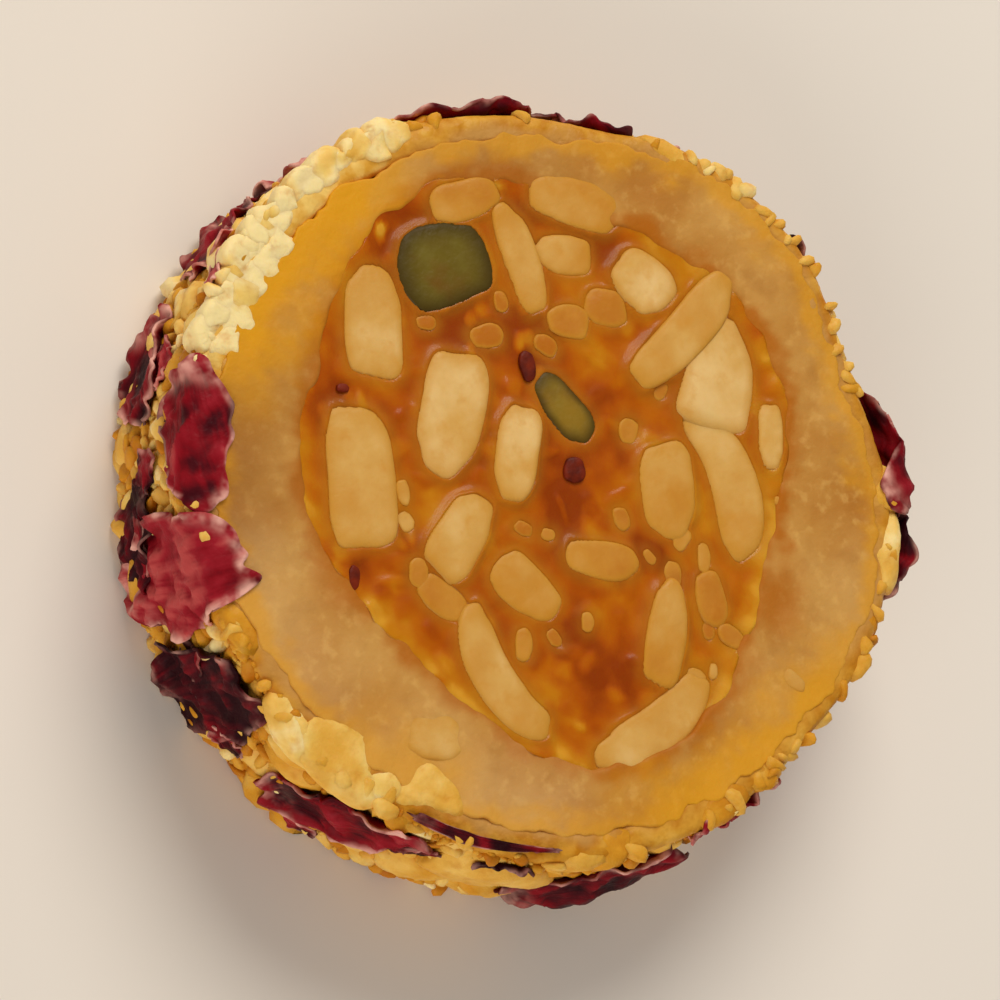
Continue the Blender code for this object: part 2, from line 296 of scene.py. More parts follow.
def finishBits(n, given, out, instances, trim):  # real geometry, cut off at the two knife planes, painted
    real = n.first("GeometryNodeRealizeInstances", Geometry=instances)
    split = n.add("ShaderNodeSeparateXYZ", Vector=n.first("GeometryNodeInputPosition")).outputs
    top = n.math("SUBTRACT", given["High Cut"], trim)
    bottom = n.math("ADD", given["Low Cut"], trim)
    flat = n.math("MAXIMUM", n.math("SMOOTH_MIN", split[2], top, treeRules["softCut"]), bottom)
    back = n.first("ShaderNodeCombineXYZ", X=split[0], Y=split[1], Z=flat)
    paintOut(n, given, out, n.first("GeometryNodeSetPosition", Geometry=real, Position=back))


def makePlacedBitsTree():  # a bit on each point, turned, sized and trimmed as the point's attributes say
    tree, n, given, out = newTree("placedBits", "GeometryNodeTree", bitInputs, "Geometry")

    def stored(label, kind="FLOAT"):
        return n.first("GeometryNodeInputNamedAttribute", data_type=kind, Name=label)

    towards = stored("facing", "FLOAT_VECTOR")
    facing = n.first("FunctionNodeAlignRotationToVector", axis="Z", Vector=towards)
    ownTurn = n.first("ShaderNodeCombineXYZ", Z=stored("spin"), X=stored("lean"))
    placed = placeBits(n, given, given["Geometry"], facing, ownTurn, stored("size", "FLOAT_VECTOR"))
    finishBits(n, given, out, placed, stored("trim"))
    return tree


def makeScatteredBitsTree():  # scatters small bits over a surface where its "bare" attribute lets them lie
    inputs = {**bitInputs, **floats("Spacing", "Palest"), "Smallest": "Vector", "Largest": "Vector"}
    tree, n, given, out = newTree("scatteredBits", "GeometryNodeTree", inputs, "Geometry")

    def drawn(kind, output, step, **span):  # a random value for each bit
        seed = n.math("ADD", given["Seed"], step)
        return n.add("FunctionNodeRandomValue", data_type=kind, Seed=seed, **span).outputs[output]

    bare = n.first("GeometryNodeInputNamedAttribute", data_type="FLOAT", Name="bare")
    spread = n.add("GeometryNodeDistributePointsOnFaces", distribute_method="POISSON",
                   Mesh=given["Geometry"], Distance_Min=given["Spacing"], Density_Max=treeRules["density"],
                   Density_Factor=bare, Seed=given["Seed"]).outputs
    least, most = treeRules["turns"]
    ownTurn = drawn("FLOAT_VECTOR", 0, 1.0, in0=least, in1=most)
    size = drawn("FLOAT_VECTOR", 0, 2.0, in0=given["Smallest"], in1=given["Largest"])
    placed = placeBits(n, given, spread["Points"], spread["Rotation"], ownTurn, size)
    tone = drawn("FLOAT", 1, 3.0, in3=given["Palest"])
    toned = n.first("GeometryNodeStoreNamedAttribute", data_type="FLOAT", domain="INSTANCE",
                    Geometry=placed, Name="tone", Value=tone)
    finishBits(n, given, out, toned, 0.0)
    return tree


def makeSweepTree():  # a rounded bar swept along a closed outline, then made uneven: the syrup under the coat
    inputs = {
        "Geometry": "Geometry",
        **floats("Width", "Height", "Corner", "Step", "Depth", "Size"),
        "Finish": "Material",
    }
    tree, n, given, out = newTree("syrupRing", "GeometryNodeTree", inputs, "Geometry")
    bar = n.first("GeometryNodeCurvePrimitiveQuadrilateral", Width=given["Width"], Height=given["Height"])
    rounded = n.first("GeometryNodeFilletCurve", mode="POLY", Curve=bar, Radius=given["Corner"], Count=4)
    profile = n.first("GeometryNodeResampleCurve", mode="LENGTH", Curve=rounded, Length=given["Step"])
    sweep = n.first("GeometryNodeCurveToMesh", Curve=given["Geometry"], Profile_Curve=profile)
    push = noisePush(n, given["Size"], given["Depth"], 2.0)
    paintOut(n, given, out, pushOut(n, sweep, push))
    return tree


unevenTree = makeUnevenTree()
placedTree = makePlacedBitsTree()
scatteredTree = makeScatteredBitsTree()
sweepTree = makeSweepTree()
print("node trees ready")


def makeUneven(piece, sizes):  # depth and size of the broad bumps, then of the fine ones, in mm, and the seed
    labels = ("Broad_Depth", "Broad_Size", "Fine_Depth", "Fine_Size")
    spans = {label: size * mm for label, size in zip(labels, sizes)}
    return applyTree(piece, unevenTree, Seed=sizes[-1], **spans)


# shader groups and finishes
def makePatchGroup():  # soft patches from 0 to 1
    inputs = {"Vector": "Vector", **floats("Scale", "Low", "High", "Seed")}
    tree, n, given, out = newTree("softPatches", "ShaderNodeTree", inputs, "Float")
    noise = n.first("ShaderNodeTexNoise", noise_dimensions="4D", Vector=given["Vector"],
                    Scale=given["Scale"], W=given["Seed"], Detail=3.0)
    spread = n.first("ShaderNodeMapRange", interpolation_type="SMOOTHSTEP", Value=noise,
                     From_Min=given["Low"], From_Max=given["High"])
    n.feed(out, Result=spread)
    return tree


def makeGrainGroup():  # a fine height: crumbly grains between smoother places
    inputs = {"Vector": "Vector", **floats("Grain Scale", "Lump Scale", "Lumps")}
    tree, n, given, out = newTree("fineGrain", "ShaderNodeTree", inputs, "Float")
    fine = n.first("ShaderNodeTexNoise", Vector=given["Vector"], Scale=given["Grain Scale"], Detail=3.0)
    coarse = n.add("ShaderNodeTexVoronoi", Vector=given["Vector"], Scale=given["Lump Scale"])
    lumps = n.math("MULTIPLY", coarse.outputs["Distance"], given["Lumps"])
    n.feed(out, Result=n.math("SUBTRACT", fine, lumps))
    return tree


patchGroup = makePatchGroup()
grainGroup = makeGrainGroup()


class Finish:  # a Principled material with the shared groups at hand
    def __init__(self, name, glow=(1.0, 0.5, 0.2), **fixed):
        self.material = bpy.data.materials.new(name)
        self.material.use_nodes = True
        self.sketch = NodeSketch(self.material.node_tree)
        self.shader = self.material.node_tree.nodes["Principled BSDF"]
        self.sketch.feed(self.shader, Subsurface_Radius=glow, **{"Specular_IOR_Level": 0.14, **fixed})
        self.place = self.sketch.add("ShaderNodeTexCoord").outputs["Object"]

    def attribute(self, name, output="Fac"):
        return self.sketch.add("ShaderNodeAttribute", attribute_name=name).outputs[output]

    def patches(self, scale, low=0.35, high=0.65, seed=0.0, strength=1.0):
        mask = self.sketch.first("ShaderNodeGroup", node_tree=patchGroup, Vector=self.place, Scale=scale,
                                 Low=low, High=high, Seed=seed)
        return mask if strength == 1.0 else self.sketch.math("MULTIPLY", mask, strength)

    def centred(self, value, amount, centre=0.5):
        return self.sketch.math("MULTIPLY", self.sketch.math("SUBTRACT", value, centre), amount)

    def mix(self, share, first, second):
        node = self.sketch.add("ShaderNodeMix", data_type="RGBA", in0=share, in6=first, in7=hexColour(second))
        return node.outputs[2]

    def ramp(self, value, stops):
        node = self.sketch.add("ShaderNodeValToRGB", in0=value)
        while len(node.color_ramp.elements) < len(stops):
            node.color_ramp.elements.new(0.5)
        for element, (position, code) in zip(node.color_ramp.elements, stops):
            element.position = position
            element.color = hexColour(code)
        return node.outputs[0]


# A pattern of patches is given as scale, low, high, seed and strength. "grain" makes a piece's own tone
# uneven: the patches, how much, and the value that changes nothing. Blotches lie over the ramp by patches,
# tints by an attribute. "rough" goes from its first to its second number with the patches, "bump" is depth
# in mm, scale of the grain, scale of the lumps and their share
looks = {
    "cashewPaste": {
        "shader": {"Subsurface_Weight": 0.1, "Subsurface_Scale": 0.001, "Specular_IOR_Level": 0.08},
        "ownTone": False,
        "grain": ((150, 0.3, 0.7), 1.0, 0.0),
        "stops": ((0.0, "#B4762F"), (0.5, "#C0873D"), (1.0, "#CA954B")),
        "blotches": (((1100, 0.5, 0.74, 3.0, 0.5), "#DCAA5C"), ((420, 0.5, 0.75, 7.0, 0.4), "#A46A28")),
        "tints": (
            ("stain", 1, "#B06008"),
            ("dull", 1, "#96602A"),
            ("pale", 1, "#E0B474"),
            ("gold", 1, "#DE9A1C"),
        ),
        "rough": ((700, 0.3, 0.7, 5.0), 0.4, 0.6),
        "bump": (0.06, 2600, 900, 0.5),
    },
    "amberJelly": {
        "shader": {
            "glow": (1.0, 0.42, 0.1),
            "Subsurface_Weight": 0.25,
            "Subsurface_Scale": 0.0009,
            "Coat_Weight": 0.14,
            "Coat_Roughness": 0.14,
            "Specular_IOR_Level": 0.06,
        },
        "grain": ((520, 0.25, 0.75), 0.22, 0.0),
        "stops": ((0.0, "#923A00"), (0.3, "#AE5000"), (0.55, "#BC6402"), (0.8, "#C67C0C"), (1.0, "#D89828")),
        "tints": (("glow", 1, "#B47418"),),
        "rough": ((600, 0.3, 0.7, 8.0), 0.3, 0.5),
        "bump": (0.04, 1500, 620, 0.6),
    },
    "cutNut": {
        "shader": {"glow": (1.0, 0.6, 0.25), "Subsurface_Weight": 0.15, "Subsurface_Scale": 0.0008},
        "grain": ((260, 0.25, 0.75, 4.0), 0.35, 0.5),
        "stops": ((0.0, "#B86A14"), (0.35, "#CA8A30"), (0.65, "#D8A656"), (1.0, "#F0CD8C")),
        "blotches": (((900, 0.5, 0.75, 9.0, 0.4), "#D08E30"),),
        "tints": (("edge", 0.7, "#C98A26"),),
        "rough": ((800, 0.3, 0.7, 2.0), 0.34, 0.52),
        "bump": (0.05, 2200, 700, 0.4),
    },
    "pistachio": {
        "stops": ((0.0, "#685614"), (1.0, "#94701C")),
        "blotches": (((430, 0.42, 0.7, 0.0, 0.4), "#7A6E26"), ((300, 0.48, 0.7, 6.0, 0.7), "#704A10")),
        # the dark skin round the kernel, with painted shade that darkens its rim further
        "tints": (("edge", 0.85, "#40300A"),),
        "rough": ((800, 0.3, 0.7, 2.0), 0.38, 0.58),
        "bump": (0.07, 2000, 800, 0.5),
    },
    "goldenSyrup": {
        "grain": ((700, 0.3, 0.7), 0.4, 0.5),
        "stops": ((0.0, "#9C5204"), (0.35, "#C07A10"), (0.7, "#DA9E34"), (1.0, "#EEC468")),
        "tints": (("soak", 1, "#C48E46"),),
        "rough": ((700, 0.3, 0.7, 4.0), 0.35, 0.55),
        "bump": (0.12, 1800, 800, 0.9),
    },
    "choppedNut": {
        "shader": {"glow": (1.0, 0.6, 0.25), "Subsurface_Weight": 0.15, "Subsurface_Scale": 0.0008},
        "grain": ((330, 0.25, 0.75, 4.0), 0.45, 0.5),
        "stops": (
            (0.0, "#BE7210"),
            (0.35, "#D89624"),
            (0.65, "#E6B04A"),
            (0.85, "#F3C86C"),
            (1.0, "#FBDF9C"),
        ),
        "blotches": (((800, 0.52, 0.75, 9.0, 0.5), "#CC8010"),),
        "rough": ((900, 0.3, 0.7, 6.0), 0.38, 0.6),
        "bump": (0.09, 2400, 900, 0.6),
    },
    "rosePetal": {
        "shader": {"Specular_IOR_Level": 0.08},
        "grain": ((300, 0.25, 0.75), 0.45, 0.5),
        "veins": 0.65,
        "stops": ((0.0, "#28030A"), (0.25, "#4A0610"), (0.5, "#800A16"), (0.75, "#981A26"), (1.0, "#B84644")),
        # painted highlight on the petal's rim: its patches, a gain by the petal's tone, its colour
        "rimHighlight": ((460, 0.38, 0.6, 2.0), 1.7, "#EEB2A0"),
        "rough": ((900, 0.3, 0.7, 6.0), 0.4, 0.62),
        "bump": (0.12, 1500, 600, 0.7),
    },
    "nutSkin": {
        "ownTone": False,
        "grain": ((800, 0.3, 0.7), 1.0, 0.0),
        "stops": ((0.0, "#4A1208"), (1.0, "#7A2408")),
        "rough": ((900, 0.3, 0.7, 6.0), 0.4, 0.6),
        "bump": (0.08, 1800, 700, 0.5),
    },
}


def makeFinish(name, look):
    f = Finish(name, **look.get("shader", {}))
    n = f.sketch
    tones = [f.attribute("tone")] if look.get("ownTone", True) else []
    if "grain" in look:
        pattern, amount, centre = look["grain"]
        tones.append(f.centred(f.patches(*pattern), amount, centre))
    if "veins" in look:  # streaks along a petal
        streaks = n.first("ShaderNodeTexNoise", Vector=f.attribute("vein", "Vector"), Scale=1.0, Detail=2.0)
        tones.append(f.centred(streaks, look["veins"]))
    tone = tones[0]
    for part in tones[1:]:
        tone = n.math("ADD", tone, part)
    base = f.ramp(tone, look["stops"])
    for pattern, code in look.get("blotches", ()):
        base = f.mix(f.patches(*pattern), base, code)
    for attribute, strength, code in look.get("tints", ()):
        base = f.mix(n.math("MULTIPLY", f.attribute(attribute), strength), base, code)
    if "rimHighlight" in look:  # painted highlight along a petal's rim, the more so the lighter the petal
        pattern, gain, code = look["rimHighlight"]
        rimHighlight = n.math("MULTIPLY", f.attribute("edge"), f.patches(*pattern))
        light = n.math("MULTIPLY", f.attribute("tone"), gain, clamp=True)
        base = f.mix(n.math("MULTIPLY", rimHighlight, light), base, code)
    pattern, low, high = look["rough"]
    rough = n.first("ShaderNodeMapRange", Value=f.patches(*pattern), To_Min=low, To_Max=high)
    depth, grainScale, lumpScale, lumps = look["bump"]
    height = n.first("ShaderNodeGroup", node_tree=grainGroup, Vector=f.place, Grain_Scale=grainScale,
                     Lump_Scale=lumpScale, Lumps=lumps)
    if "veins" in look:
        height = n.math("ADD", height, streaks)
    bump = n.first("ShaderNodeBump", Height=height, Distance=depth * mm, Strength=1.0)
    n.feed(f.shader, Base_Color=base, Roughness=rough, Normal=bump)
    return f.material


finishes = {name: makeFinish(name, look) for name, look in looks.items()}
print("finishes ready")


# nuts of the filling
# x, y, length, width, turn, bend, bluntness of the ends, taper towards the start, tone from tan to cream
fillingNuts = {
    "upper": (
        (-5.4, 15.6, 11.6, 3.5, -70, 20, 0.74, 0.05, 0.60),
        (-1.5, 16.7, 8.4, 5.8, -38, 0, 0.70, 0.32, 0.74),
        (4.0, 18.4, 4.8, 2.2, -26, 0, 0.76, 0.00, 0.66),
        (5.6, 13.4, 12.4, 3.9, -8, 78, 0.80, 0.00, 0.58),
        (4.4, 8.9, 7.4, 4.3, -24, 0, 0.74, -0.12, 0.44),
        (-9.8, 14.2, 5.0, 4.2, 20, 0, 0.70, 0.10, 0.76),
        (-9.2, 10.6, 3.6, 2.8, 60, 0, 0.74, 0.08, 0.24),
        (-16.8, 11.9, 7.6, 3.6, 52, 0, 0.76, 0.00, 0.42),
        (-13.8, 9.4, 4.6, 3.0, 64, 0, 0.74, 0.05, 0.50),
        (-14.8, 6.0, 8.6, 2.9, -8, 12, 0.80, 0.00, 0.52),
        (-20.2, 3.8, 5.6, 3.1, 82, 0, 0.76, 0.00, 0.36),
        (-14.8, -6.7, 8.0, 4.7, -26, 0, 0.66, 0.10, 0.66),
        (-7.0, -4.2, 9.2, 5.2, -42, 20, 0.72, -0.08, 0.74),
        (-2.5, -0.8, 7.4, 3.3, -36, 0, 0.70, 0.00, 0.72),
        (-5.4, -12.8, 10.6, 5.2, -22, 18, 0.58, 0.04, 0.62),
        (1.1, -7.6, 6.6, 4.0, -58, 0, 0.66, 0.14, 0.64),
        (6.3, -4.6, 6.0, 3.6, 24, 0, 0.72, -0.14, 0.40),
        (6.8, 1.7, 6.0, 2.8, 58, 0, 0.78, 0.00, 0.26),
        (13.5, 3.8, 8.0, 3.2, -38, 0, 0.76, 0.10, 0.38),
        (18.8, 0.1, 11.4, 3.7, -80, 58, 0.82, 0.10, 0.62),
        (10.8, -9.3, 11.6, 3.4, 6, -78, 0.80, 0.16, 0.60),
        (4.5, -10.8, 4.4, 2.5, 28, 0, 0.74, 0.05, 0.30),
        (12.6, 8.4, 4.2, 2.4, -14, 0, 0.74, 0.05, 0.16),
    ),
    "upperPistachios": (
        (-16.5, 0.2, 7.1, 6.2, 82, 0, 0.66, -0.05, 0.0),
        (-3.9, 4.2, 6.0, 3.0, 18, 0, 0.80, 0.00, 0.9),
    ),
    "sinks": (-0.15, 0.25),
    "lower": {  # nuts of the lower cut
        "count": 24,
        "seed": 12,
        "step": 137.508,  # degrees from one to the next, so that they spread evenly
        "reach": 0.80,  # share of the outline that they fill
        "lengths": (5.6, 11.5),
        "widths": (3.0, 5.0),
        "shorter": (0.8, 0.7),  # share of the length in the middle and outside
        "bends": ((-20, 20), (10, 50)),  # in the middle and outside
        "swing": 16,
    },
    "lowerSinks": (0.05, 0.25),
    "wobble": ((2, 0.035), (3, 0.030), (5, 0.024), (8, 0.012)),  # waves round a nut and their size
    "tilt": 0.022,  # most slope of a cut face
    "proud": 0.04,  # most height over its own sink
    "depth": 2.4,
    "around": 44,
    "edgeFrom": 0.62,  # share of the half width where the darker edge begins
    "uneven": (0.08, 2.4, 0.03, 0.9, 3.0),
    # share of the half width, and depth below the cut, from the middle of the cut down to the hidden end
    "profile": (
        (0.30, 0.00), (0.55, 0.00), (0.70, 0.02), (0.81, 0.04), (0.89, 0.075), (0.94, 0.125), (0.975, 0.20),
        (0.995, 0.31), (1.00, 0.50), (1.00, 0.85), (0.98, 1.20), (0.90, 1.60), (0.70, 2.00), (0.38, 2.30),
    ),
}

# small bits between the nuts, in the same columns, sunk deeper and cut from thinner pieces
smallBits = {
    "upper": (
        (-9.4, 7.4, 3.4, 2.4, 62, 0, 0.76, 0.1, 0.26), (-8.5, 5.0, 2.0, 1.4, 40, 0, 0.8, 0, 0.10),
        (-10.8, 1.0, 2.7, 1.8, 80, 0, 0.8, 0, 0.14), (-0.6, 8.2, 2.0, 1.5, -40, 0, 0.8, 0, 0.16),
        (9.8, 9.3, 2.2, 1.1, -25, 0, 0.8, 0, 0.40), (8.6, 17.0, 1.3, 0.8, 60, 0, 0.8, 0, 0.34),
        (14.5, 7.2, 1.4, 1.0, -20, 0, 0.8, 0, 0.12), (15.6, 8.6, 2.2, 1.4, 30, 0, 0.8, 0, 0.14),
        (10.2, 6.4, 2.6, 1.5, -25, 0, 0.8, 0, 0.22),
        (4.8, 4.6, 1.7, 1.2, -10, 0, 0.8, 0, 0.10), (8.1, 5.3, 1.2, 0.8, 20, 0, 0.8, 0, 0.20),
        (3.6, -1.2, 1.1, 0.9, 50, 0, 0.8, 0, 0.34), (17.3, 6.1, 1.2, 0.7, -30, 0, 0.8, 0, 0.50),
        (10.3, -1.4, 1.4, 1.0, -30, 0, 0.8, 0, 0.36), (2.5, -2.8, 1.5, 1.0, 40, 0, 0.8, 0, 0.12),
        (9.8, -6.7, 2.4, 1.3, -28, 0, 0.8, 0, 0.20), (10.3, -4.2, 1.4, 1.0, 10, 0, 0.8, 0, 0.14),
        (2.2, -11.7, 2.2, 1.5, -30, 0, 0.8, 0, 0.34), (-3.3, -10.2, 1.8, 1.0, -20, 0, 0.8, 0, 0.46),
        (-1.4, -10.9, 1.5, 1.3, 10, 0, 0.8, 0, 0.50), (-13.4, -2.9, 1.6, 1.1, 70, 0, 0.8, 0, 0.02),
        (17.6, 4.4, 2.4, 1.9, -30, 0, 0.76, 0, 0.44), (-12.6, 3.2, 1.6, 1.1, -20, 0, 0.8, 0, 0.12),
        (7.9, 8.3, 1.9, 1.3, -60, 0, 0.8, 0, 0.30), (-2.2, 11.9, 1.5, 1.0, -50, 0, 0.8, 0, 0.20),
    ),
    "skinFlecks": (
        (-7.7, 2.9, 2.2, 1.2, -14, 0, 0.85, 0, 0.0), (0.3, 2.8, 1.9, 1.6, -30, 0, 0.85, 0, 0.0),
        (0.6, -16.4, 1.8, 0.9, -30, 0, 0.85, 0, 0.25), (-11.6, -11.0, 1.0, 0.6, 60, 0, 0.85, 0, 0.3),
    ),
    "sinks": (0.12, 0.42),
    "fleckSinks": (0.10, 0.16),
    "thin": 0.45,  # share of a whole nut's height
    "lower": {  # small bits of the lower cut
        "count": 26,
        "seed": 61,
        "lengths": (1.0, 3.0),
        "widths": (0.8, 1.8),
        "fromEdge": 1.5,
        "apart": 2.2,
        "fromNuts": 0.8,
        "tones": (0.05, 0.45),
    },
}

# nuts that the knife met in the paste and in the rim of the coat
pasteNuts = {
    "upper": (
        (12.8, -16.0, 4.6, 3.3, 62, 0, 0.70, 0.10, 0.60), (-15.6, -17.3, 3.4, 2.2, 66, 0, 0.72, 0.10, 0.50),
        (20.4, 11.6, 2.2, 1.3, 30, 0, 0.75, 0.0, 0.44),
    ),
    "sinks": (-0.02, 0.10),
}


def lowerNuts():  # spread evenly by a spiral, each turned and sized by a seeded draw
    rule = fillingNuts["lower"]
    draw = random.Random(rule["seed"])
    count, swing = rule["count"], rule["swing"]
    innerBends, outerBends = rule["bends"]
    rows = []
    for i in range(count):
        outside = i > count / 2
        angle = math.radians(rule["step"]) * i
        reach = rule["reach"] * outlineRadius("filling", angle) * math.sqrt((i + 0.35) / count)
        turn = math.degrees(angle) + 90 if outside else draw.uniform(0, 180)
        length = draw.uniform(*rule["lengths"]) * rule["shorter"][i >= count / 2]
        bend = -draw.uniform(*outerBends) if outside else draw.uniform(*innerBends)
        width = draw.uniform(*rule["widths"])
        row = (*spotAt(reach, angle), length, width, turn + draw.uniform(-swing, swing), bend)
        blunt, taper = 0.62 + 0.2 * evenShare(i, "blunt"), 0.1 * evenShare(i, "taper")
        rows.append((*row, blunt, taper, 0.3 + 0.5 * evenShare(i, "tone")))
    return rows


def lowerBits(outlines):  # small bits of the lower cut, where the nuts leave room
    rule = smallBits["lower"]
    draw = random.Random(rule["seed"])
    rows = []
    while len(rows) < rule["count"]:
        angle, share = draw.uniform(0, math.tau), math.sqrt(draw.random())
        x, y = spotAt((outlineRadius("filling", angle) - rule["fromEdge"]) * share, angle)
        others = min((math.hypot(x - row[0], y - row[1]) for row in rows), default=math.inf)
        if others > rule["apart"] and awayFrom(outlines, np.array([[x, y]]))[0][0] > rule["fromNuts"]:
            length, width = draw.uniform(*rule["lengths"]), draw.uniform(*rule["widths"])
            rows.append((x, y, length, width, draw.uniform(0, 180), 0, 0.8, 0, draw.uniform(*rule["tones"])))
    return rows


def bendRow(points, length, bend):  # bends points that lie along X round an arc
    if not bend:
        return points
    arc = length / math.radians(bend)
    bent = points.copy()
    bent[:, 0] = (arc + points[:, 1]) * np.sin(points[:, 0] / arc)
    bent[:, 1] = (arc + points[:, 1]) * np.cos(points[:, 0] / arc) - arc
    return bent


def nutOutline(row, seed):  # the outline of a nut's cut face in its own frame, before it is bent
    _, _, length, width, _, _, blunt, taper, _ = row
    draw = np.random.default_rng(seed)
    around = np.linspace(0, math.tau, fillingNuts["around"], endpoint=False)
    wobble = np.ones(len(around))
    for waves, size in fillingNuts["wobble"]:
        wobble += size * np.sin(waves * around + draw.uniform(0, math.tau))
    cos, sin = np.cos(around), np.sin(around)
    across = np.sign(cos) * np.abs(cos) ** blunt * length / 2 * wobble
    up = np.sign(sin) * np.abs(sin) ** blunt * width / 2 * wobble * (1 + taper * cos)
    return np.stack([across, up], 1)


def placeNut(row, local):  # bends points of a nut's own frame and lays them in the slice
    x, y, length, _, turn, bend = row[:6]
    spots = np.linspace(-length / 2, length / 2, 21)
    spine = bendRow(np.stack([spots, 0 * spots], 1), length, bend)
    flat = bendRow(local, length, bend) - (0.0, spine[:, 1].mean())
    cos, sin = math.cos(math.radians(turn)), math.sin(math.radians(turn))
    return flat @ np.array([[cos, sin], [-sin, cos]]) + (x, y)


def sinkOf(sinks, index):  # how deep a nut lies under the cut
    return sinks[0] + evenShare(index, "sink") * (sinks[1] - sinks[0])


def buildNuts(name, finish, rows, upper, sinks, seed, firstIndex=0, thin=1.0, edgeFrom=None):
    edgeFrom = edgeFrom or fillingNuts["edgeFrom"]
    points, faces, tones, edges = [], [], [], []
    count, depth, slope = fillingNuts["around"], fillingNuts["depth"], fillingNuts["tilt"]
    profile = fillingNuts["profile"]
    size = len(profile) * count + 2
    for i, row in enumerate(rows):
        outline = nutOutline(row, seed + i)
        tilt = np.random.default_rng(seed * 7 + i).uniform(-slope, slope, 2)
        sink = sinkOf(sinks, firstIndex + i)
        for part, drop in (*profile, (0.0, 0.0), (0.0, depth)):
            local = outline * part if part else np.zeros((1, 2))
            height = sink + np.maximum(thin * drop + local @ tilt, -fillingNuts["proud"])
            points.append(np.column_stack([placeNut(row, local), height]))
            tones += [row[8]] * len(local)
            edges += [float(smoothStep(edgeFrom, 1.0, part if part else drop / depth))] * len(local)
        start, top, bottom = i * size, (i + 1) * size - 2, (i + 1) * size - 1
        last = top - count
        faces += [tuple(start + k for k in face) for face in loftFaces(len(profile), count, False)]
        for k in range(count):
            faces.append((top, start + (k + 1) % count, start + k))
            faces.append((bottom, last + k, last + (k + 1) % count))
    points = np.concatenate(points)
    if upper:
        points[:, 2] = thickness - points[:, 2]
        faces = [face[::-1] for face in faces]
    return makeUneven(meshPiece(name, points, faces, finish, tone=tones, edge=edges), fillingNuts["uneven"])


def outlinesOf(rows, seed, sinks, firstIndex=0):  # each nut's outline in the slice, and how deep it lies
    placed = [placeNut(row, nutOutline(row, seed + i)) for i, row in enumerate(rows)]
    return [(outline, sinkOf(sinks, firstIndex + i)) for i, outline in enumerate(placed)]


def awayFrom(outlines, spots, farthest=3.0, blend=0.25):  # how far outside the nearest nut, and its depth
    nearest = np.full(len(spots), farthest)
    depth, weight = np.zeros(len(spots)), np.full(len(spots), 1e-9)
    for outline, sink in outlines:
        within = (spots > outline.min(0) - farthest) & (spots < outline.max(0) + farthest)
        close = np.flatnonzero(np.all(within, 1))
        side = np.roll(outline, -1, 0) - outline
        away = spots[close][:, None] - outline[None]
        share = np.clip((away * side).sum(2) / (side**2).sum(1), 0, 1)
        gap = np.linalg.norm(away - share[..., None] * side, axis=2).min(1)
        turn = side[:, 0] * away[..., 1] - side[:, 1] * away[..., 0]
        crossed = ((away[..., 1] < 0) != (away[..., 1] < side[:, 1])) & ((turn > 0) == (side[:, 1] > 0))
        gap = np.where(crossed.sum(1) % 2, -gap, gap)
        nearest[close] = np.minimum(nearest[close], gap)
        share = np.exp(-np.maximum(gap, 0) / blend)
        depth[close] += share * sink
        weight[close] += share
    return nearest, depth / weight


upperRows, pistachioRows = fillingNuts["upper"], fillingNuts["upperPistachios"]
bitRows, fleckRows = smallBits["upper"], smallBits["skinFlecks"]
lowerRows = lowerNuts()
nutSinks, bitSinks, bitThin = fillingNuts["sinks"], smallBits["sinks"], smallBits["thin"]
greenFirst = len(upperRows)  # the pistachios go on counting after the nuts
upperOutlines = outlinesOf(upperRows, 101, nutSinks) + outlinesOf(pistachioRows, 303, nutSinks, greenFirst)
upperOutlines += outlinesOf(bitRows, 606, bitSinks)
lowerOutlines = outlinesOf(lowerRows, 505, fillingNuts["lowerSinks"])
lowerBitRows = lowerBits(lowerOutlines)
lowerOutlines += outlinesOf(lowerBitRows, 707, bitSinks)
cutNut = finishes["cutNut"]
fillingPieces = [
    buildNuts("fillingNutsUpper", cutNut, upperRows, True, nutSinks, 101),
    # a wider dark rim than on the other nuts: the skin, with painted shade round it
    buildNuts("pistachios", finishes["pistachio"], pistachioRows, True, nutSinks, 303, greenFirst,
              edgeFrom=0.45),
    buildNuts("fillingNutsLower", cutNut, lowerRows, False, fillingNuts["lowerSinks"], 505),
    buildNuts("fillingBitsUpper", cutNut, bitRows, True, bitSinks, 606, thin=bitThin),
    buildNuts("fillingBitsLower", cutNut, lowerBitRows, False, bitSinks, 707, thin=bitThin),
    buildNuts("skinFlecks", finishes["nutSkin"], fleckRows, True, smallBits["fleckSinks"], 808, thin=bitThin),
]
pasteNutPiece = buildNuts("pasteNuts", cutNut, pasteNuts["upper"], True, pasteNuts["sinks"], 909)
print("nuts of the filling ready")


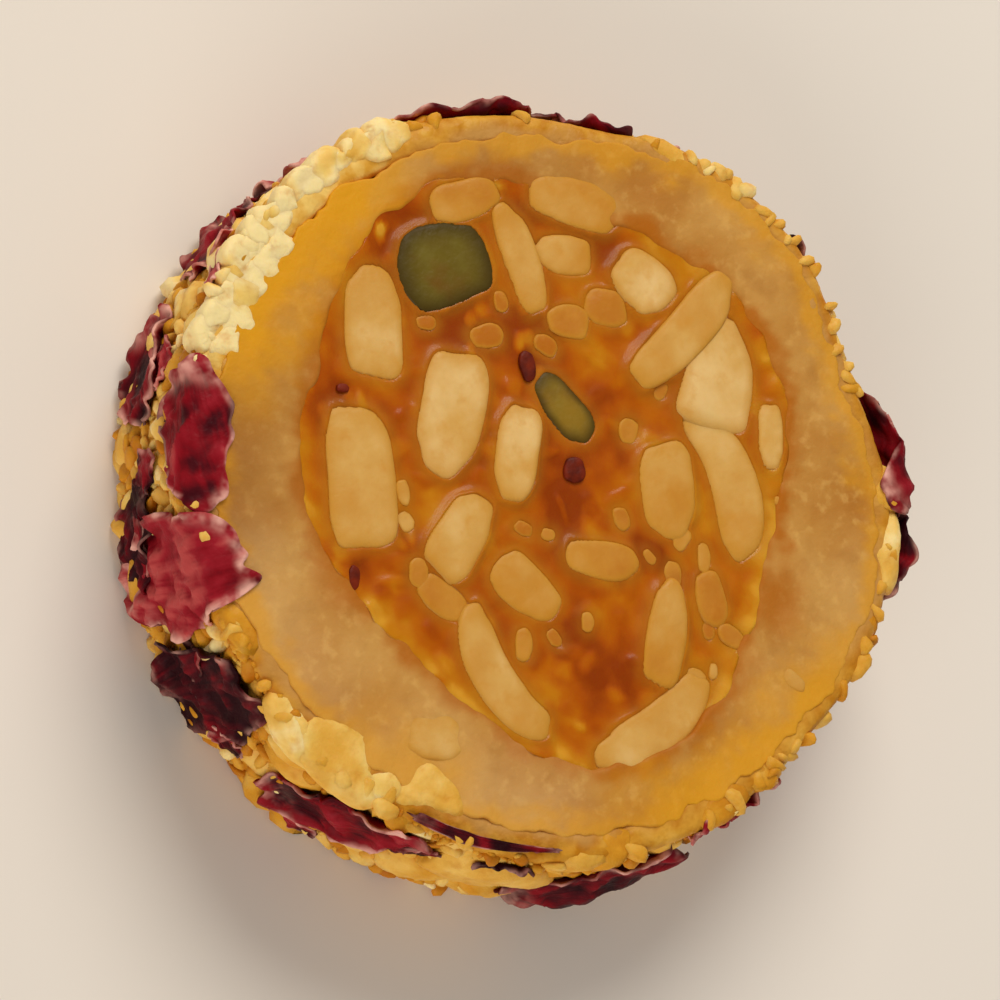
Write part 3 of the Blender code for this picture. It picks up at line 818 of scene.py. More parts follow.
# the jelly that holds them
jelly = {
    "spokes": 360,
    "rings": 92,
    "overlap": 0.35,  # under the edge of the paste
    "crowding": 0.9,  # below 1 the rings lie closer at the outside
    "ragged": ((0.32, 3.4), (0.12, 1.3)),  # height and wavelength
    "raggedSeed": 71,
    "sink": 0.4,  # mean depth below the cut
    "shallowest": 0.04,
    "ripple": 0.06,
    "rippleSize": 4.6,
    "dip": 0.9,  # how deep it goes down under a nut
    "belowNuts": 0.1,  # where it meets the side of a nut
    "climb": 0.4,  # how far from a nut it starts to rise or fall to that
    "rimRise": 0.24,  # and up to the paste
    "rimPale": 0.3,
    "deepDark": 0.3,
    "glow": (0.5, 0.6),  # next to a nut: how much, and how far
    "tones": ((0.34, 6.5), (0.12, 2.2)),
    "meanTone": 0.28,
    "crumbs": 260,  # nut crumbs just under its skin
    "crumbSeeds": {True: 17, False: 47},  # upper cut, lower cut
    "crumbSizes": ((0.5, 1.7), (0.4, 1.0)),
    "crumbRise": (0.03, 0.16),
    "crumbTones": (0.15, 0.85),
    "crumbShow": 0.8,
    # places where it is clear and deep: x, y, reach
    "deeps": ((0.3, 4.8, 3.4), (14.0, -1.0, 4.6), (10.3, -2.5, 3.4), (0.3, -15.4, 2.6), (-11.4, 2.6, 2.6),
              (2.2, 0.4, 2.4), (-3.6, 7.2, 2.2), (8.0, 5.6, 2.4)),
}


def raggedEdge(angle):  # a small unevenness that the jelly and the paste share along their border
    return mixedNoise(ringAt(19, angle), jelly["raggedSeed"], jelly["ragged"])


def jellyCrumbs(points, seed):  # how far crumbs lift the jelly's skin, and how light they make it
    draw = np.random.default_rng(seed)
    rise = np.zeros(len(points))
    tone = jelly["meanTone"] + mixedNoise(points, seed + 1, jelly["tones"])
    wander = 0.10 * waveNoise(points, 0.9, seed + 3)
    for _ in range(jelly["crumbs"]):
        reach = rollSlice["fillingRadius"] * 1.1 * math.sqrt(draw.uniform())
        middle = spotAt(reach, draw.uniform(0, math.tau))
        turn = draw.uniform(0, math.pi)
        long, wide = (draw.uniform(*span) for span in jelly["crumbSizes"])
        height, light = draw.uniform(*jelly["crumbRise"]), draw.uniform(*jelly["crumbTones"]) ** 1.4
        x, y = points[:, 0] - middle[0], points[:, 1] - middle[1]
        u, v = x * math.cos(turn) + y * math.sin(turn), y * math.cos(turn) - x * math.sin(turn)
        share = 1 - smoothStep(0.3, 1.15, np.hypot(u / long, v / wide) + wander)
        rise = np.maximum(rise, share * height)
        tone += (light - tone) * share * jelly["crumbShow"]
    return rise, tone


def buildJelly():
    spokes, rings = jelly["spokes"], jelly["rings"]
    angle = np.linspace(0, math.tau, spokes, endpoint=False)
    outer = outlineRadius("filling", angle) + raggedEdge(angle) + jelly["overlap"]
    points, tones, glows = [], [], []
    shares = (np.arange(rings, -1, -1) / rings) ** jelly["crowding"]
    flat = np.vstack([*(ringAt(outer * share, angle)[:, :2] for share in shares[:-1]), [0.0, 0.0]])
    reach = np.append(np.repeat(shares[:-1], spokes) * np.tile(outer, rings), 0.0)
    gap = np.append(np.tile(outer, rings), 20.0) - jelly["overlap"] - reach
    for upper in (True, False):
        spots = np.column_stack([flat, np.full(len(flat), 0.0 if upper else otherCut)])
        rise, tone = jellyCrumbs(spots, jelly["crumbSeeds"][upper])
        inOrOut, depth = awayFrom(upperOutlines if upper else lowerOutlines, flat)
        away = np.maximum(inOrOut, 0)
        sink = jelly["sink"] - jelly["ripple"] * waveNoise(spots, jelly["rippleSize"], 11)
        sink -= rise * smoothStep(0.0, 0.5, away)
        sink -= jelly["rimRise"] * smoothStep(1.4, -0.2, gap)
        sink += (depth + jelly["belowNuts"] - sink) * np.exp(-away / jelly["climb"])
        sink = np.maximum(sink, jelly["shallowest"]) + jelly["dip"] * smoothStep(-0.05, -0.6, inOrOut)
        points.append(np.column_stack([flat, thickness - sink if upper else sink]))
        deep = np.zeros(len(flat))
        wander = 0.5 * waveNoise(spots, 2.0, 83)
        for x, y, size in jelly["deeps"]:
            fromMiddle = np.hypot(flat[:, 0] - x, flat[:, 1] - y) + wander
            deep = np.maximum(deep, smoothStep(size, size * 0.2, fromMiddle))
        tones.append(tone + jelly["rimPale"] * smoothStep(1.8, 0.0, gap) - jelly["deepDark"] * deep)
        glow, spread = jelly["glow"]
        glows.append(glow * np.exp(-((away / spread) ** 2)) * (1 - 0.4 * deep))
    half = rings * spokes
    upperFaces = loftFaces(rings, spokes, False)
    lowerFaces = [tuple(half + 1 + k for k in face[::-1]) for face in upperFaces]
    faces = upperFaces + lowerFaces
    last = half - spokes
    for i in range(spokes):
        j = (i + 1) % spokes
        faces.append((last + i, last + j, half))
        faces.append((half + 1 + last + j, half + 1 + last + i, 2 * half + 1))
        faces.append((j, i, half + 1 + i, half + 1 + j))
    glow = np.clip(np.concatenate(glows), 0, 1)
    return meshPiece("amberJelly", np.concatenate(points), faces, finishes["amberJelly"],
                     tone=np.concatenate(tones), glow=glow)


jellyPiece = buildJelly()
fillingPieces.append(jellyPiece)
print("jelly ready")


# the ring of cashew paste
paste = {
    "spokes": 460,
    "across": 28,
    "innerEdge": 0.4,  # how far its edges are rounded
    "outerEdge": 0.14,
    "outerOverlap": 0.25,
    "outerRagged": ((0.4, 3.0), (0.2, 1.1)),  # height and wavelength
    "below": 0.07,  # mean depth of its top under the cut
    "waves": ((0.08, 7.0), (0.05, 2.4)),
    "wall": 6,
    "innerStain": 0.85,  # of the jelly, soaked in along the border
    "outerGold": 0.6,
    "uneven": (0.04, 2.2, 0.025, 0.7, 9.0),
    # amber stains: x, y, reach, strength
    "stains": (
        (-12.4, 12.4, 3.2, 0.8), (14.5, 12.8, 4.2, 0.7), (0.5, -17.6, 3.2, 0.7), (3.2, 17.4, 2.6, 0.5),
        (-9.5, 18.2, 2.6, 0.6), (-11.3, -11.4, 2.0, 0.7), (9.0, -13.6, 2.8, 0.5), (17.6, 8.6, 2.4, 0.5),
    ),
    # golden stretches next to the coat: direction, half its width in degrees, depth, strength
    "golds": ((207, 36, 6.4, 1.0), (14, 36, 5.0, 0.85), (125, 34, 2.8, 0.25), (306, 16, 6.0, 0.6),
              (70, 18, 2.0, 0.5)),
    "dulls": ((241, 30, 9.0, 0.65), (160, 20, 9.0, 0.3)),
    "pales": ((274, 26, 9.0, 0.35), (318, 30, 9.0, 0.45), (35, 30, 7.0, 0.2)),
}


def buildPaste():
    spokes, steps = paste["spokes"], paste["across"]
    angle = np.linspace(0, math.tau, spokes, endpoint=False)
    inner = outlineRadius("filling", angle) + raggedEdge(angle)
    ragged = mixedNoise(ringAt(rollSlice["pasteRadius"], angle), 35, paste["outerRagged"])
    outer = outlineRadius("paste", angle) + paste["outerOverlap"] + ragged
    shares = 0.5 - 0.5 * np.cos(np.linspace(0, 1, steps) * math.pi)  # closer steps at the edges
    points = []
    for upper in (True, False):
        for share in shares if upper else shares[::-1]:
            radius = inner + (outer - inner) * share
            flat = ringAt(radius, angle, 0.0 if upper else otherCut)
            drop = np.zeros(spokes)
            for gap, edge in ((radius - inner, paste["innerEdge"]), (outer - radius, paste["outerEdge"])):
                inEdge = np.clip(1 - gap / edge, 0, 1)
                drop += edge * (1 - np.sqrt(1 - inEdge**2))
            if upper:
                drop += paste["below"] - mixedNoise(flat, 31, paste["waves"])
            flat[:, 2] = thickness - drop if upper else np.maximum(drop, 0.0)
            points.append(flat)
        wallRadius = outer if upper else inner
        start = points[-1][:, 2]
        goal = paste["outerEdge"] if upper else thickness - paste["innerEdge"]
        for step in np.linspace(0, 1, paste["wall"] + 2)[1:-1]:  # down the outer side, then up the inner side
            points.append(ringAt(wallRadius, angle, start + (goal - start) * step))
    stacked = np.concatenate(points)
    faces = [face[::-1] for face in loftFaces(len(points), spokes, True)]
    around = np.arctan2(stacked[:, 1], stacked[:, 0])
    reach = np.hypot(stacked[:, 0], stacked[:, 1])
    fromFilling = reach - outlineRadius("filling", around)
    fromCoat = outlineRadius("paste", around) - reach
    cloud = mixedNoise(stacked, 41, ((1.0, 3.2), (0.6, 1.2)))
    stain = paste["innerStain"] * smoothStep(1.9, 0.0, fromFilling + 0.7 * cloud)
    for x, y, size, strength in paste["stains"]:
        away = np.hypot(stacked[:, 0] - x, stacked[:, 1] - y)
        stain = np.maximum(stain, strength * smoothStep(size, 0.0, away + 0.6 * cloud))
    golden = paste["outerGold"] * smoothStep(1.8, 0.1, fromCoat + 0.6 * cloud)
    dull, pale = np.zeros(len(stacked)), np.zeros(len(stacked))
    for rows, found in ((paste["golds"], golden), (paste["dulls"], dull), (paste["pales"], pale)):
        for centre, half, depth, strength in rows:
            band = smoothStep(depth, 0.3, fromCoat + 0.9 * cloud)
            near = nearTurn(np.degrees(around), centre, half, half * 0.45)
            np.maximum(found, strength * near * band, out=found)
    shades = {"dull": dull, "pale": pale, "stain": stain, "gold": golden}
    shades = {name: np.clip(values, 0, 1) for name, values in shades.items()}
    piece = meshPiece("pasteRing", stacked, faces, finishes["cashewPaste"], **shades)
    return makeUneven(piece, paste["uneven"])


pastePiece = buildPaste()
print("paste ready")


# the coat: petals first, because the nuts lie where the petals leave room
# angle and height of the middle, length, width, turn, curl of an edge, tone from dark purple to rose
petals = {
    "rows": (
        (240.5, 13.3, 8.8, 6.0, 4, 0.6, 0.46),
        (227, 4.4, 8.0, 5.6, 22, 0.6, 0.34),
        (252, 3.9, 6.0, 5.0, -24, 0.5, 0.10),
        (259.5, 9.0, 13.2, 8.0, 82, 0.6, 0.70),
        (277.5, 6.4, 11.0, 7.4, 78, 1.2, 0.08),
        (305, 8.0, 11.6, 6.0, 38, 0.8, 0.42),
        (322, 14.15, 10.4, 0.5, 1, 0.3, 0.26),
        (347, 7.2, 12.0, 6.2, 36, 0.7, 0.24),
        (14, 9.8, 6.6, 4.6, -34, 0.8, 0.46),
        (36, 5.0, 9.0, 6.0, -18, 0.8, 0.70),
        (58, 11.4, 5.4, 3.6, 8, 0.8, 0.16),
        (72.5, 11.4, 8.6, 5.4, -4, 0.8, 0.44),
        (86, 4.2, 8.0, 5.6, 30, 0.7, 0.78),
        (106, 10.4, 4.4, 4.2, -40, 0.8, 0.10),
        (122, 5.0, 9.6, 6.4, 12, 0.9, 0.56),
        (141, 11.4, 5.4, 4.2, 10, 1.0, 0.30),
        (162, 10.8, 11.2, 5.0, -4, 0.9, 0.36),
        (180, 4.4, 8.4, 5.8, -28, 0.8, 0.70),
        (204, 5.6, 9.0, 6.2, 52, 0.8, 0.46),
    ),
    "scraps": 26,  # small torn bits, scattered
    "scrapSizes": ((2.2, 5.0), (1.4, 3.0)),
    "scrapSeed": 14,
    "along": 46,
    "across": 34,
    "sheet": 0.2,
    "lift": 0.72,
    "lowest": 0.5,
    "highest": 3.2,
    "farthest": 28.4,  # from the middle, along X or Y
    # by row: how far an edge stands away, and which one: 1 the upper, -1 the lower
    "flares": {7: (2.3, -1), 10: (1.5, 1), 11: (2.0, 1)},
    "ragged": ((2, 0.06), (3, 0.08), (5, 0.06), (9, 0.04), (14, 0.025)),  # waves round the rim and their size
    "folds": ((0.6, 4.2), (0.5, 2.0), (0.2, 1.0)),  # height and wavelength
    "crinkle": 0.5,
    "seed": 900,
    "lowEdge": (0.35, 0.1),  # where the lower cut ends a petal, and how much that varies
    "taper": 0.22,
    "ruffles": ((7, 0.3), (13, 0.16)),  # waves along the rim and their height
    "soft": (0.85, 0.2),  # how softly the lift is held back: from both sides, then at its least and most
    "pressed": (0.5, 0.62),  # what stands over the cut: where the pressing starts, and how much stays
    "scrapIndex": 50,  # the scraps count from here, so that none is torn like a petal
    "spread": 1.14,  # a little larger than the solids' flakes, whose edges are thicker
}


def petalScraps():
    draw = random.Random(petals["scrapSeed"])
    rows = []
    for i in range(petals["scraps"]):
        angle = 360 * (i + draw.uniform(0.2, 0.8)) / petals["scraps"]
        length, width = (draw.uniform(*span) for span in petals["scrapSizes"])
        height, turn = draw.uniform(1.6, 12.6), draw.uniform(-60, 60)
        rows.append((angle, height, length, width, turn, draw.uniform(0.2, 1.0), draw.uniform(0.1, 0.85)))
    return rows


def petalCover(angle, height, edge):  # 1 where a petal lies over the coat
    covered = np.zeros(np.shape(angle))
    for petalAngle, petalHeight, length, width, turn, _, _ in petals["rows"]:
        roundWay = np.radians(turnBetween(np.degrees(angle), petalAngle)) * rollSlice["coatRadius"]
        up = height - petalHeight
        tilt = math.radians(turn)
        along = roundWay * math.cos(tilt) + up * math.sin(tilt)
        across = up * math.cos(tilt) - roundWay * math.sin(tilt)
        covered = np.maximum(covered, (2 * along / length) ** 2 + (2 * across / width) ** 2 < edge)
    return covered


def petalSheet(i, row):
    petalAngle, petalHeight, length, width, turn, curl, tone = row
    rowLength, rowCount = petals["along"], petals["across"]
    u, v = np.meshgrid(np.linspace(-1, 1, rowLength), np.linspace(-1, 1, rowCount))
    u, v = u.ravel(), v.ravel()
    discU, discV = u * np.sqrt(1 - v * v / 2), v * np.sqrt(1 - u * u / 2)  # the square sheet, made round
    rim, spin = np.hypot(discU, discV), np.arctan2(discV, discU)
    draw = np.random.default_rng(petals["seed"] + i)
    ragged = np.ones(len(u))
    for waves, size in petals["ragged"]:
        ragged += rim**3 * size * np.sin(waves * spin + draw.uniform(0, math.tau))
    along = length / 2 * petals["spread"] * discU * ragged
    across = width / 2 * petals["spread"] * discV * ragged * (1 - petals["taper"] * discU)
    local = np.stack([along * 0.7, across, np.full(len(u), 10.0 * i)], 1)
    folds = sum(share * (1.1 - 2.6 * np.abs(waveNoise(local, size, 60))) for share, size in petals["folds"])
    (many, high), (more, low) = petals["ruffles"]
    ruffle = high * rim**4 * np.sin(many * spin + 5 * draw.uniform()) + low * rim**4 * np.sin(more * spin)
    small = min(1.0, width / 5)
    rolled = curl * small * (0.75 * smoothStep(0.45, 1.0, discV) + 0.35 * smoothStep(0.6, 1.0, np.abs(discU)))
    raised = petals["lift"] - 1 + (petals["crinkle"] * folds + ruffle) * small + rolled
    hold, soft = petals["soft"]
    lift = hold * np.tanh(raised / hold) + 1
    lift = soft * np.logaddexp(lift / soft, petals["lowest"] / soft)
    flare, side = petals["flares"].get(i, (0.0, 1))
    lift += flare * smoothStep(-0.5, 0.9, discV * side) * smoothStep(-1.3, -0.3, discU)
    across -= 0.5 * curl * small * smoothStep(0.7, 1.0, discV)  # the rolled edge comes back a little
    tilt = math.radians(turn)
    roundWay = along * math.cos(tilt) - across * math.sin(tilt)
    up = petalHeight + along * math.sin(tilt) + across * math.cos(tilt)
    start, stays = petals["pressed"]
    over = np.maximum(up - thickness + start, 0)  # what stands over the cut is pressed in over the rim
    up = up - over + stays * (1 - np.exp(-over / start)) + 0.04 * folds * np.minimum(over, 1)
    here = math.radians(petalAngle) + roundWay / rollSlice["coatRadius"]
    room = petals["farthest"] / np.maximum(np.abs(np.cos(here)), np.abs(np.sin(here)))
    room -= outlineRadius("coat", here)
    highest = np.minimum(petals["highest"], room) + 0.3 * np.clip(folds, -1, 0.2) + 0.1 * np.sin(9 * spin)
    lift = -soft * np.logaddexp(-lift / soft, -highest / soft)
    reach = outlineRadius("coat", here) + lift * np.exp(-over / 1.5) - over
    faces = []
    for b in range(rowCount - 1):
        for a in range(rowLength - 1):
            k = b * rowLength + a
            faces.append((k, k + 1, k + rowLength + 1, k + rowLength))
    fan = np.stack([9 * np.arctan2(discV, discU + 1.3), 1.2 * rim, np.full(len(u), 3.0 * i)], 1)
    # the rim and the base end of a petal, where the painted highlight goes
    edge = np.maximum(smoothStep(0.82, 1.0, rim), smoothStep(-0.55, -1.0, discU))
    # painted light and shade: a petal is lighter on its raised folds and darker in their hollows
    foldShadedTone = tone + 0.26 * np.clip(folds, -1, 1)
    sheet = meshPiece(f"petalSheet{i}", ringAt(reach, here, up), faces, tone=foldShadedTone, vein=fan, edge=edge)
    bm = bmesh.new()
    bm.from_mesh(sheet.data)
    geometry = bm.verts[:] + bm.edges[:] + bm.faces[:]
    low, vary = petals["lowEdge"]
    place = (0.0, 0.0, (low + vary * (i % 3)) * mm)
    bmesh.ops.bisect_plane(bm, geom=geometry, plane_co=place, plane_no=(0.0, 0.0, -1.0), clear_outer=True)
    closeInto(bm, sheet.data)
    wall = sheet.modifiers.new("sheet", "SOLIDIFY")
    wall.thickness = petals["sheet"] * mm
    wall.offset = 0.0
    return sheet


def joinPieces(name, pieces, finish):  # evaluates each piece and joins them in one mesh
    bpy.context.view_layer.update()
    graph = bpy.context.evaluated_depsgraph_get()
    bm = bmesh.new()
    for piece in pieces:
        mesh = bpy.data.meshes.new_from_object(piece.evaluated_get(graph))
        bm.from_mesh(mesh)
        bpy.data.meshes.remove(mesh)
    for piece in pieces:
        bpy.data.objects.remove(piece)
    mesh = bpy.data.meshes.new(name)
    closeInto(bm, mesh)
    mesh.shade_smooth()
    mesh.materials.clear()
    mesh.materials.append(finish)
    joined = addObject(name, mesh)
    return joined


sheets = [petalSheet(i, row) for i, row in enumerate(petals["rows"])]
petalPiece = joinPieces("rosePetals", sheets, finishes["rosePetal"])
scraps = [petalSheet(i, row) for i, row in enumerate(petalScraps(), petals["scrapIndex"])]
scrapPiece = joinPieces("petalScraps", scraps, finishes["rosePetal"])
print("petals ready")

# chopped nuts
chopped = {
    "rows": 4,
    "inRow": 38,
    "jitter": 0.34,
    "sizes": ((3.0, 5.6), (2.3, 3.6), (1.8, 2.7)),
    "seed": 31,
    "larger": 1.08,  # than in the solids
    "lean": 0.35,  # most lean of a bit on the side, in radians
    "sunk": 0.075,  # share of its height that lies in the syrup
    "thinner": 0.15,  # how much deeper where the coat is thin
    "edgeSeed": 77,
    "edgeRule": {
        "outside": 0.25,
        "stray": 0.35,
        "step": (0.5, 0.7),  # share of a bit's width to the next
        "outward": (0.0, 0.4),
        "deep": (1.6, 2.6),
        "sink": (0.0, 0.16),
        "moreSink": 0.25,
        "long": (1.0, 1.5),
        "broad": (0.8, 1.1),
        "trim": (-0.13, 0.03),
        "paler": (-0.16, 0.12),
    },
    # the rim of the cut, by direction: from, to, sizes of the bits, tone, chance of a bit
    "edge": (
        (0, 50, (0.8, 1.7), 0.42, 0.3),
        (50, 114, (0.7, 1.5), 0.50, 0.4),
        (114, 132, (0.9, 1.8), 0.80, 0.7),
        (132, 180, (0.8, 1.6), 0.50, 0.28),
        (180, 230, (0.8, 1.8), 0.98, 0.5),
        (234, 262, (0.6, 1.2), 0.70, 0.12),
        (262, 286, (0.7, 1.4), 0.55, 0.35),
        (286, 300, (1.0, 2.0), 0.62, 0.5),
        (300, 312, (1.0, 2.0), 0.60, 0.4),
        (312, 328, (0.8, 1.6), 0.60, 0.15),
        (328, 360, (0.8, 1.6), 0.50, 0.12),
    ),
    # the pale crust, level with the cut: from, to, how far inwards, sizes, tone
    "crust": (
        (176, 228, 0.35, (2.2, 3.2), 1.10),
        (203, 228, 1.8, (2.4, 3.4), 1.06),
    ),
    "crustSeed": 5,
    "crustMiddle": 212,  # it gets darker away from there
    "chunkDrop": 0.9,  # of a chunk's middle under the cut
    "chunkDeep": 2.8,
    # larger pieces that the photo shows there: x, y, sizes, turn, sink, tone
    "edgePieces": (
        (10.8, -22.8, 8.2, 5.0, 24, 0.05, 0.74),
        (8.6, -24.5, 6.8, 3.2, 12, 0.35, 0.80),
        (16.0, -18.4, 6.4, 4.4, 40, 0.05, 0.72),
        (14.2, -21.2, 3.4, 2.6, 30, 0.30, 0.80),
        (15.4, 23.0, 6.6, 2.6, 146, 0.25, 0.78),
        (11.4, 25.2, 4.2, 2.2, 156, 0.35, 0.66),
    ),
    # and on the wall below: direction, height, sizes, turn, tone
    "wallPieces": (
        (327, 8.6, 9.6, 5.6, -8, 0.60),
        (319, 5.0, 5.6, 4.0, 14, 0.52),
        (334, 4.4, 5.0, 3.4, 0, 0.50),
        (290, 11.6, 4.4, 3.4, 20, 0.60),
    ),
    "chunkUneven": (0.24, 1.6, 0.06, 0.6, 0.0),
}
# by direction: where it ends and, for the last, where it is full
coatSides = {"pale": (207, 34), "gold": (14, 42), "thin": (66, 120, 60)}
chopRules = {"breaks": 7, "sharp": 0.95, "radius": 0.56, "uneven": 0.1}


def chopShape(name, seed, fineness, cuts):  # a broken nut bit with flat breaks
    draw = np.random.default_rng(seed)
    bm = bmesh.new()
    bmesh.ops.create_icosphere(bm, subdivisions=fineness, radius=1.0)
    points = np.array([vert.co[:] for vert in bm.verts])
    points *= (1 + chopRules["uneven"] * waveNoise(points, 1.9, seed))[:, None]
    for _ in range(chopRules["breaks"]):
        normal = draw.normal(size=3)
        normal /= np.linalg.norm(normal)
        over = np.clip(points @ normal - draw.uniform(*cuts), 0, None)
        points -= over[:, None] * normal * chopRules["sharp"]
    for vert, place in zip(bm.verts, points):
        vert.co = place * chopRules["radius"]
    mesh = bpy.data.meshes.new(name)
    closeInto(bm, mesh)
    mesh.shade_smooth()
    return bpy.data.objects.new(name, mesh)


def makeShapes(name, seed, fineness, cuts=(0.5, 0.8)):
    collection = bpy.data.collections.new(name)
    bpy.context.scene.collection.children.link(collection)
    for i in range(treeRules["shapes"]):
        collection.objects.link(chopShape(f"{name}{i}", seed + i, fineness, cuts))
    return collection


def coatTone(angle, share):  # the coat is palest at one side and most golden at the other
    sides = (coatSides["pale"], coatSides["gold"])
    pale, gold = (max(0.0, 1 - abs(turnBetween(math.degrees(angle), side)) / half) for side, half in sides)
    return min(1.0, max(0.0, 0.28 + 0.5 * share + 0.4 * pale - 0.14 * gold))


def coatThins(angle):  # 1 where the coat is more syrup than nuts
    return float(nearTurn(math.degrees(angle), *coatSides["thin"]))


def sideBits():  # the same seeded rule as in the solids: place, size and turn of each bit
    draw = random.Random(chopped["seed"])
    for row in range(chopped["rows"]):
        for i in range(chopped["inRow"]):
            roundShare = i + 0.5 * (row % 2) + draw.uniform(-chopped["jitter"], chopped["jitter"])
            upShare = row + 0.5 + draw.uniform(-chopped["jitter"], chopped["jitter"])
            angle = math.tau * roundShare / chopped["inRow"]
            height = thickness * upShare / chopped["rows"]
            if petalCover(angle, height, 0.75):
                continue
            sizes = [chopped["larger"] * draw.uniform(*span) for span in chopped["sizes"]]
            for _ in range(12):  # the solids' bits use these draws for their corners
                draw.random()
            spin, lean = draw.uniform(0, math.tau), draw.uniform(-chopped["lean"], chopped["lean"])
            for _ in range(2):  # and these for how far the knife left them
                draw.random()
            reach = outlineRadius("coat", angle) - chopped["sunk"] * sizes[2]
            reach -= chopped["thinner"] * coatThins(angle)
            place, normal = spotAt(reach, angle, height), spotAt(1.0, angle, 0.0)
            trim = 0.1 + 0.2 * evenShare(i, "trim")
            yield place, normal, sizes, spin, lean, trim, coatTone(angle, evenShare(i, "tone"))


def edgeBits():  # bits that the knife went through, along the rim of the cut
    draw = random.Random(chopped["edgeSeed"])
    rule = chopped["edgeRule"]
    for first, last, span, tone, chance in chopped["edge"]:
        around = first + draw.uniform(0, 2)
        while around < last:
            wide = draw.uniform(*span)
            angle = math.radians(around)
            stray = draw.uniform(-rule["stray"], rule["stray"])
            reach = outlineRadius("coat", angle) + rule["outside"] + stray
            around += math.degrees(wide / reach) * draw.uniform(*rule["step"])
            petalThere = petalCover(angle, thickness - 0.8, 1.0)
            if draw.random() > chance or petalThere:
                continue
            normal = Vector(spotAt(draw.uniform(*rule["outward"]), angle, 1.0)).normalized()
            deep = draw.uniform(*rule["deep"])
            sink = draw.uniform(*rule["sink"]) + rule["moreSink"] * draw.random()
            place = spotAt(reach, angle, thickness - sink - 0.25 * deep)
            sizes = (wide * draw.uniform(*rule["long"]), wide * draw.uniform(*rule["broad"]), deep)
            trim, paler = draw.uniform(*rule["trim"]), draw.uniform(*rule["paler"])
            yield place, normal, sizes, draw.uniform(0, math.tau), 0.0, trim, tone + paler


def chunks():  # larger pieces along the rim and on the wall, and the crust
    for x, y, length, width, turn, sink, tone in chopped["edgePieces"]:
        place, sizes = (x, y, thickness - chopped["chunkDrop"] - sink), (length, width, 2.6)
        yield place, (0.02, -0.05, 1.0), sizes, math.radians(turn), 0.0, -0.02, tone
    for angle, height, length, width, turn, tone in chopped["wallPieces"]:
        here = math.radians(angle)
        place, normal = spotAt(outlineRadius("coat", here) + 0.1, here, height), spotAt(1.0, here, 0.0)
        sizes = (length, width, chopped["chunkDeep"])
        yield place, normal, sizes, math.radians(angle + 90 + turn), 0.0, 0.1, tone
    draw = random.Random(chopped["crustSeed"])
    for first, last, inwards, (small, large), tone in chopped["crust"]:
        around = first + draw.uniform(0, 3)
        while around < last:
            wide = draw.uniform(small, large)
            here = math.radians(around)
            reach = outlineRadius("coat", here) + 0.25 - inwards + draw.uniform(-0.3, 0.3)
            place = spotAt(reach, here, thickness - chopped["chunkDrop"] - draw.uniform(0, 0.2))
            sizes = (wide * draw.uniform(1.0, 1.25), wide * draw.uniform(0.75, 0.9), chopped["chunkDeep"])
            spin, trim = here + math.pi / 2 + draw.uniform(-0.5, 0.5), draw.uniform(-0.1, 0.04)
            ends = (0.26 + 0.08 * inwards) * float(nearTurn(around, chopped["crustMiddle"], 12, 30))
            yield place, (0.0, 0.0, 1.0), sizes, spin, 0.0, trim, tone - ends + draw.uniform(-0.07, 0.07)
            around += math.degrees(wide / reach) * draw.uniform(0.42, 0.6)


def buildChopped(name, bits, shapes, seed):
    points, facing, size, spin, lean, trim, tone = zip(*bits)
    piece = meshPiece(name, points, [], facing=facing, size=np.array(size) * mm, spin=spin, lean=lean,
                      trim=np.array(trim) * mm, tone=tone)
    return applyTree(piece, placedTree, Shapes=shapes, Low_Cut=0.0, High_Cut=thickness * mm, Seed=seed,
                     Finish=finishes["choppedNut"])


shapes = makeShapes("chopShape", 700, 2)
fineShapes = makeShapes("chunkShape", 730, 4, (0.64, 0.92))
crumbShapes = makeShapes("crumbShape", 760, 1)
sideBitPiece = buildChopped("choppedNuts", list(sideBits()), shapes, 4)
edgeBitPiece = buildChopped("rimNuts", list(edgeBits()), shapes, 5)
chunkPiece = buildChopped("rimChunks", list(chunks()), fineShapes, 6)
makeUneven(chunkPiece, chopped["chunkUneven"])
print("chopped nuts ready")


# syrup, small bits and crumbs of the coat
syrup = {
    "spokes": 480,
    "reach": 0.3,  # how far it stands out from the coat's outline
    "swell": 0.3,  # and how much more where the coat is thin
    "lowest": 0.3,
    "width": 2.5,
    "height": 13.52,
    "corner": 0.7,
    "step": 0.45,
    "depth": 0.12,
    "size": 1.3,
    "meanTone": 0.44,
    "palePart": (207, 44, 14),  # direction, where it ends, where it is full
    "farPart": (85, 125, 95),  # where its top side carries bits too
}
bits = {"spacing": 1.15, "smallest": (1.0, 0.8, 0.6), "largest": (2.6, 1.7, 1.4), "seed": 21, "palest": 0.9}
crumbs = {"spacing": 0.5, "smallest": (0.3, 0.3, 0.3), "largest": (1.0, 0.8, 0.6), "seed": 22, "palest": 0.8}


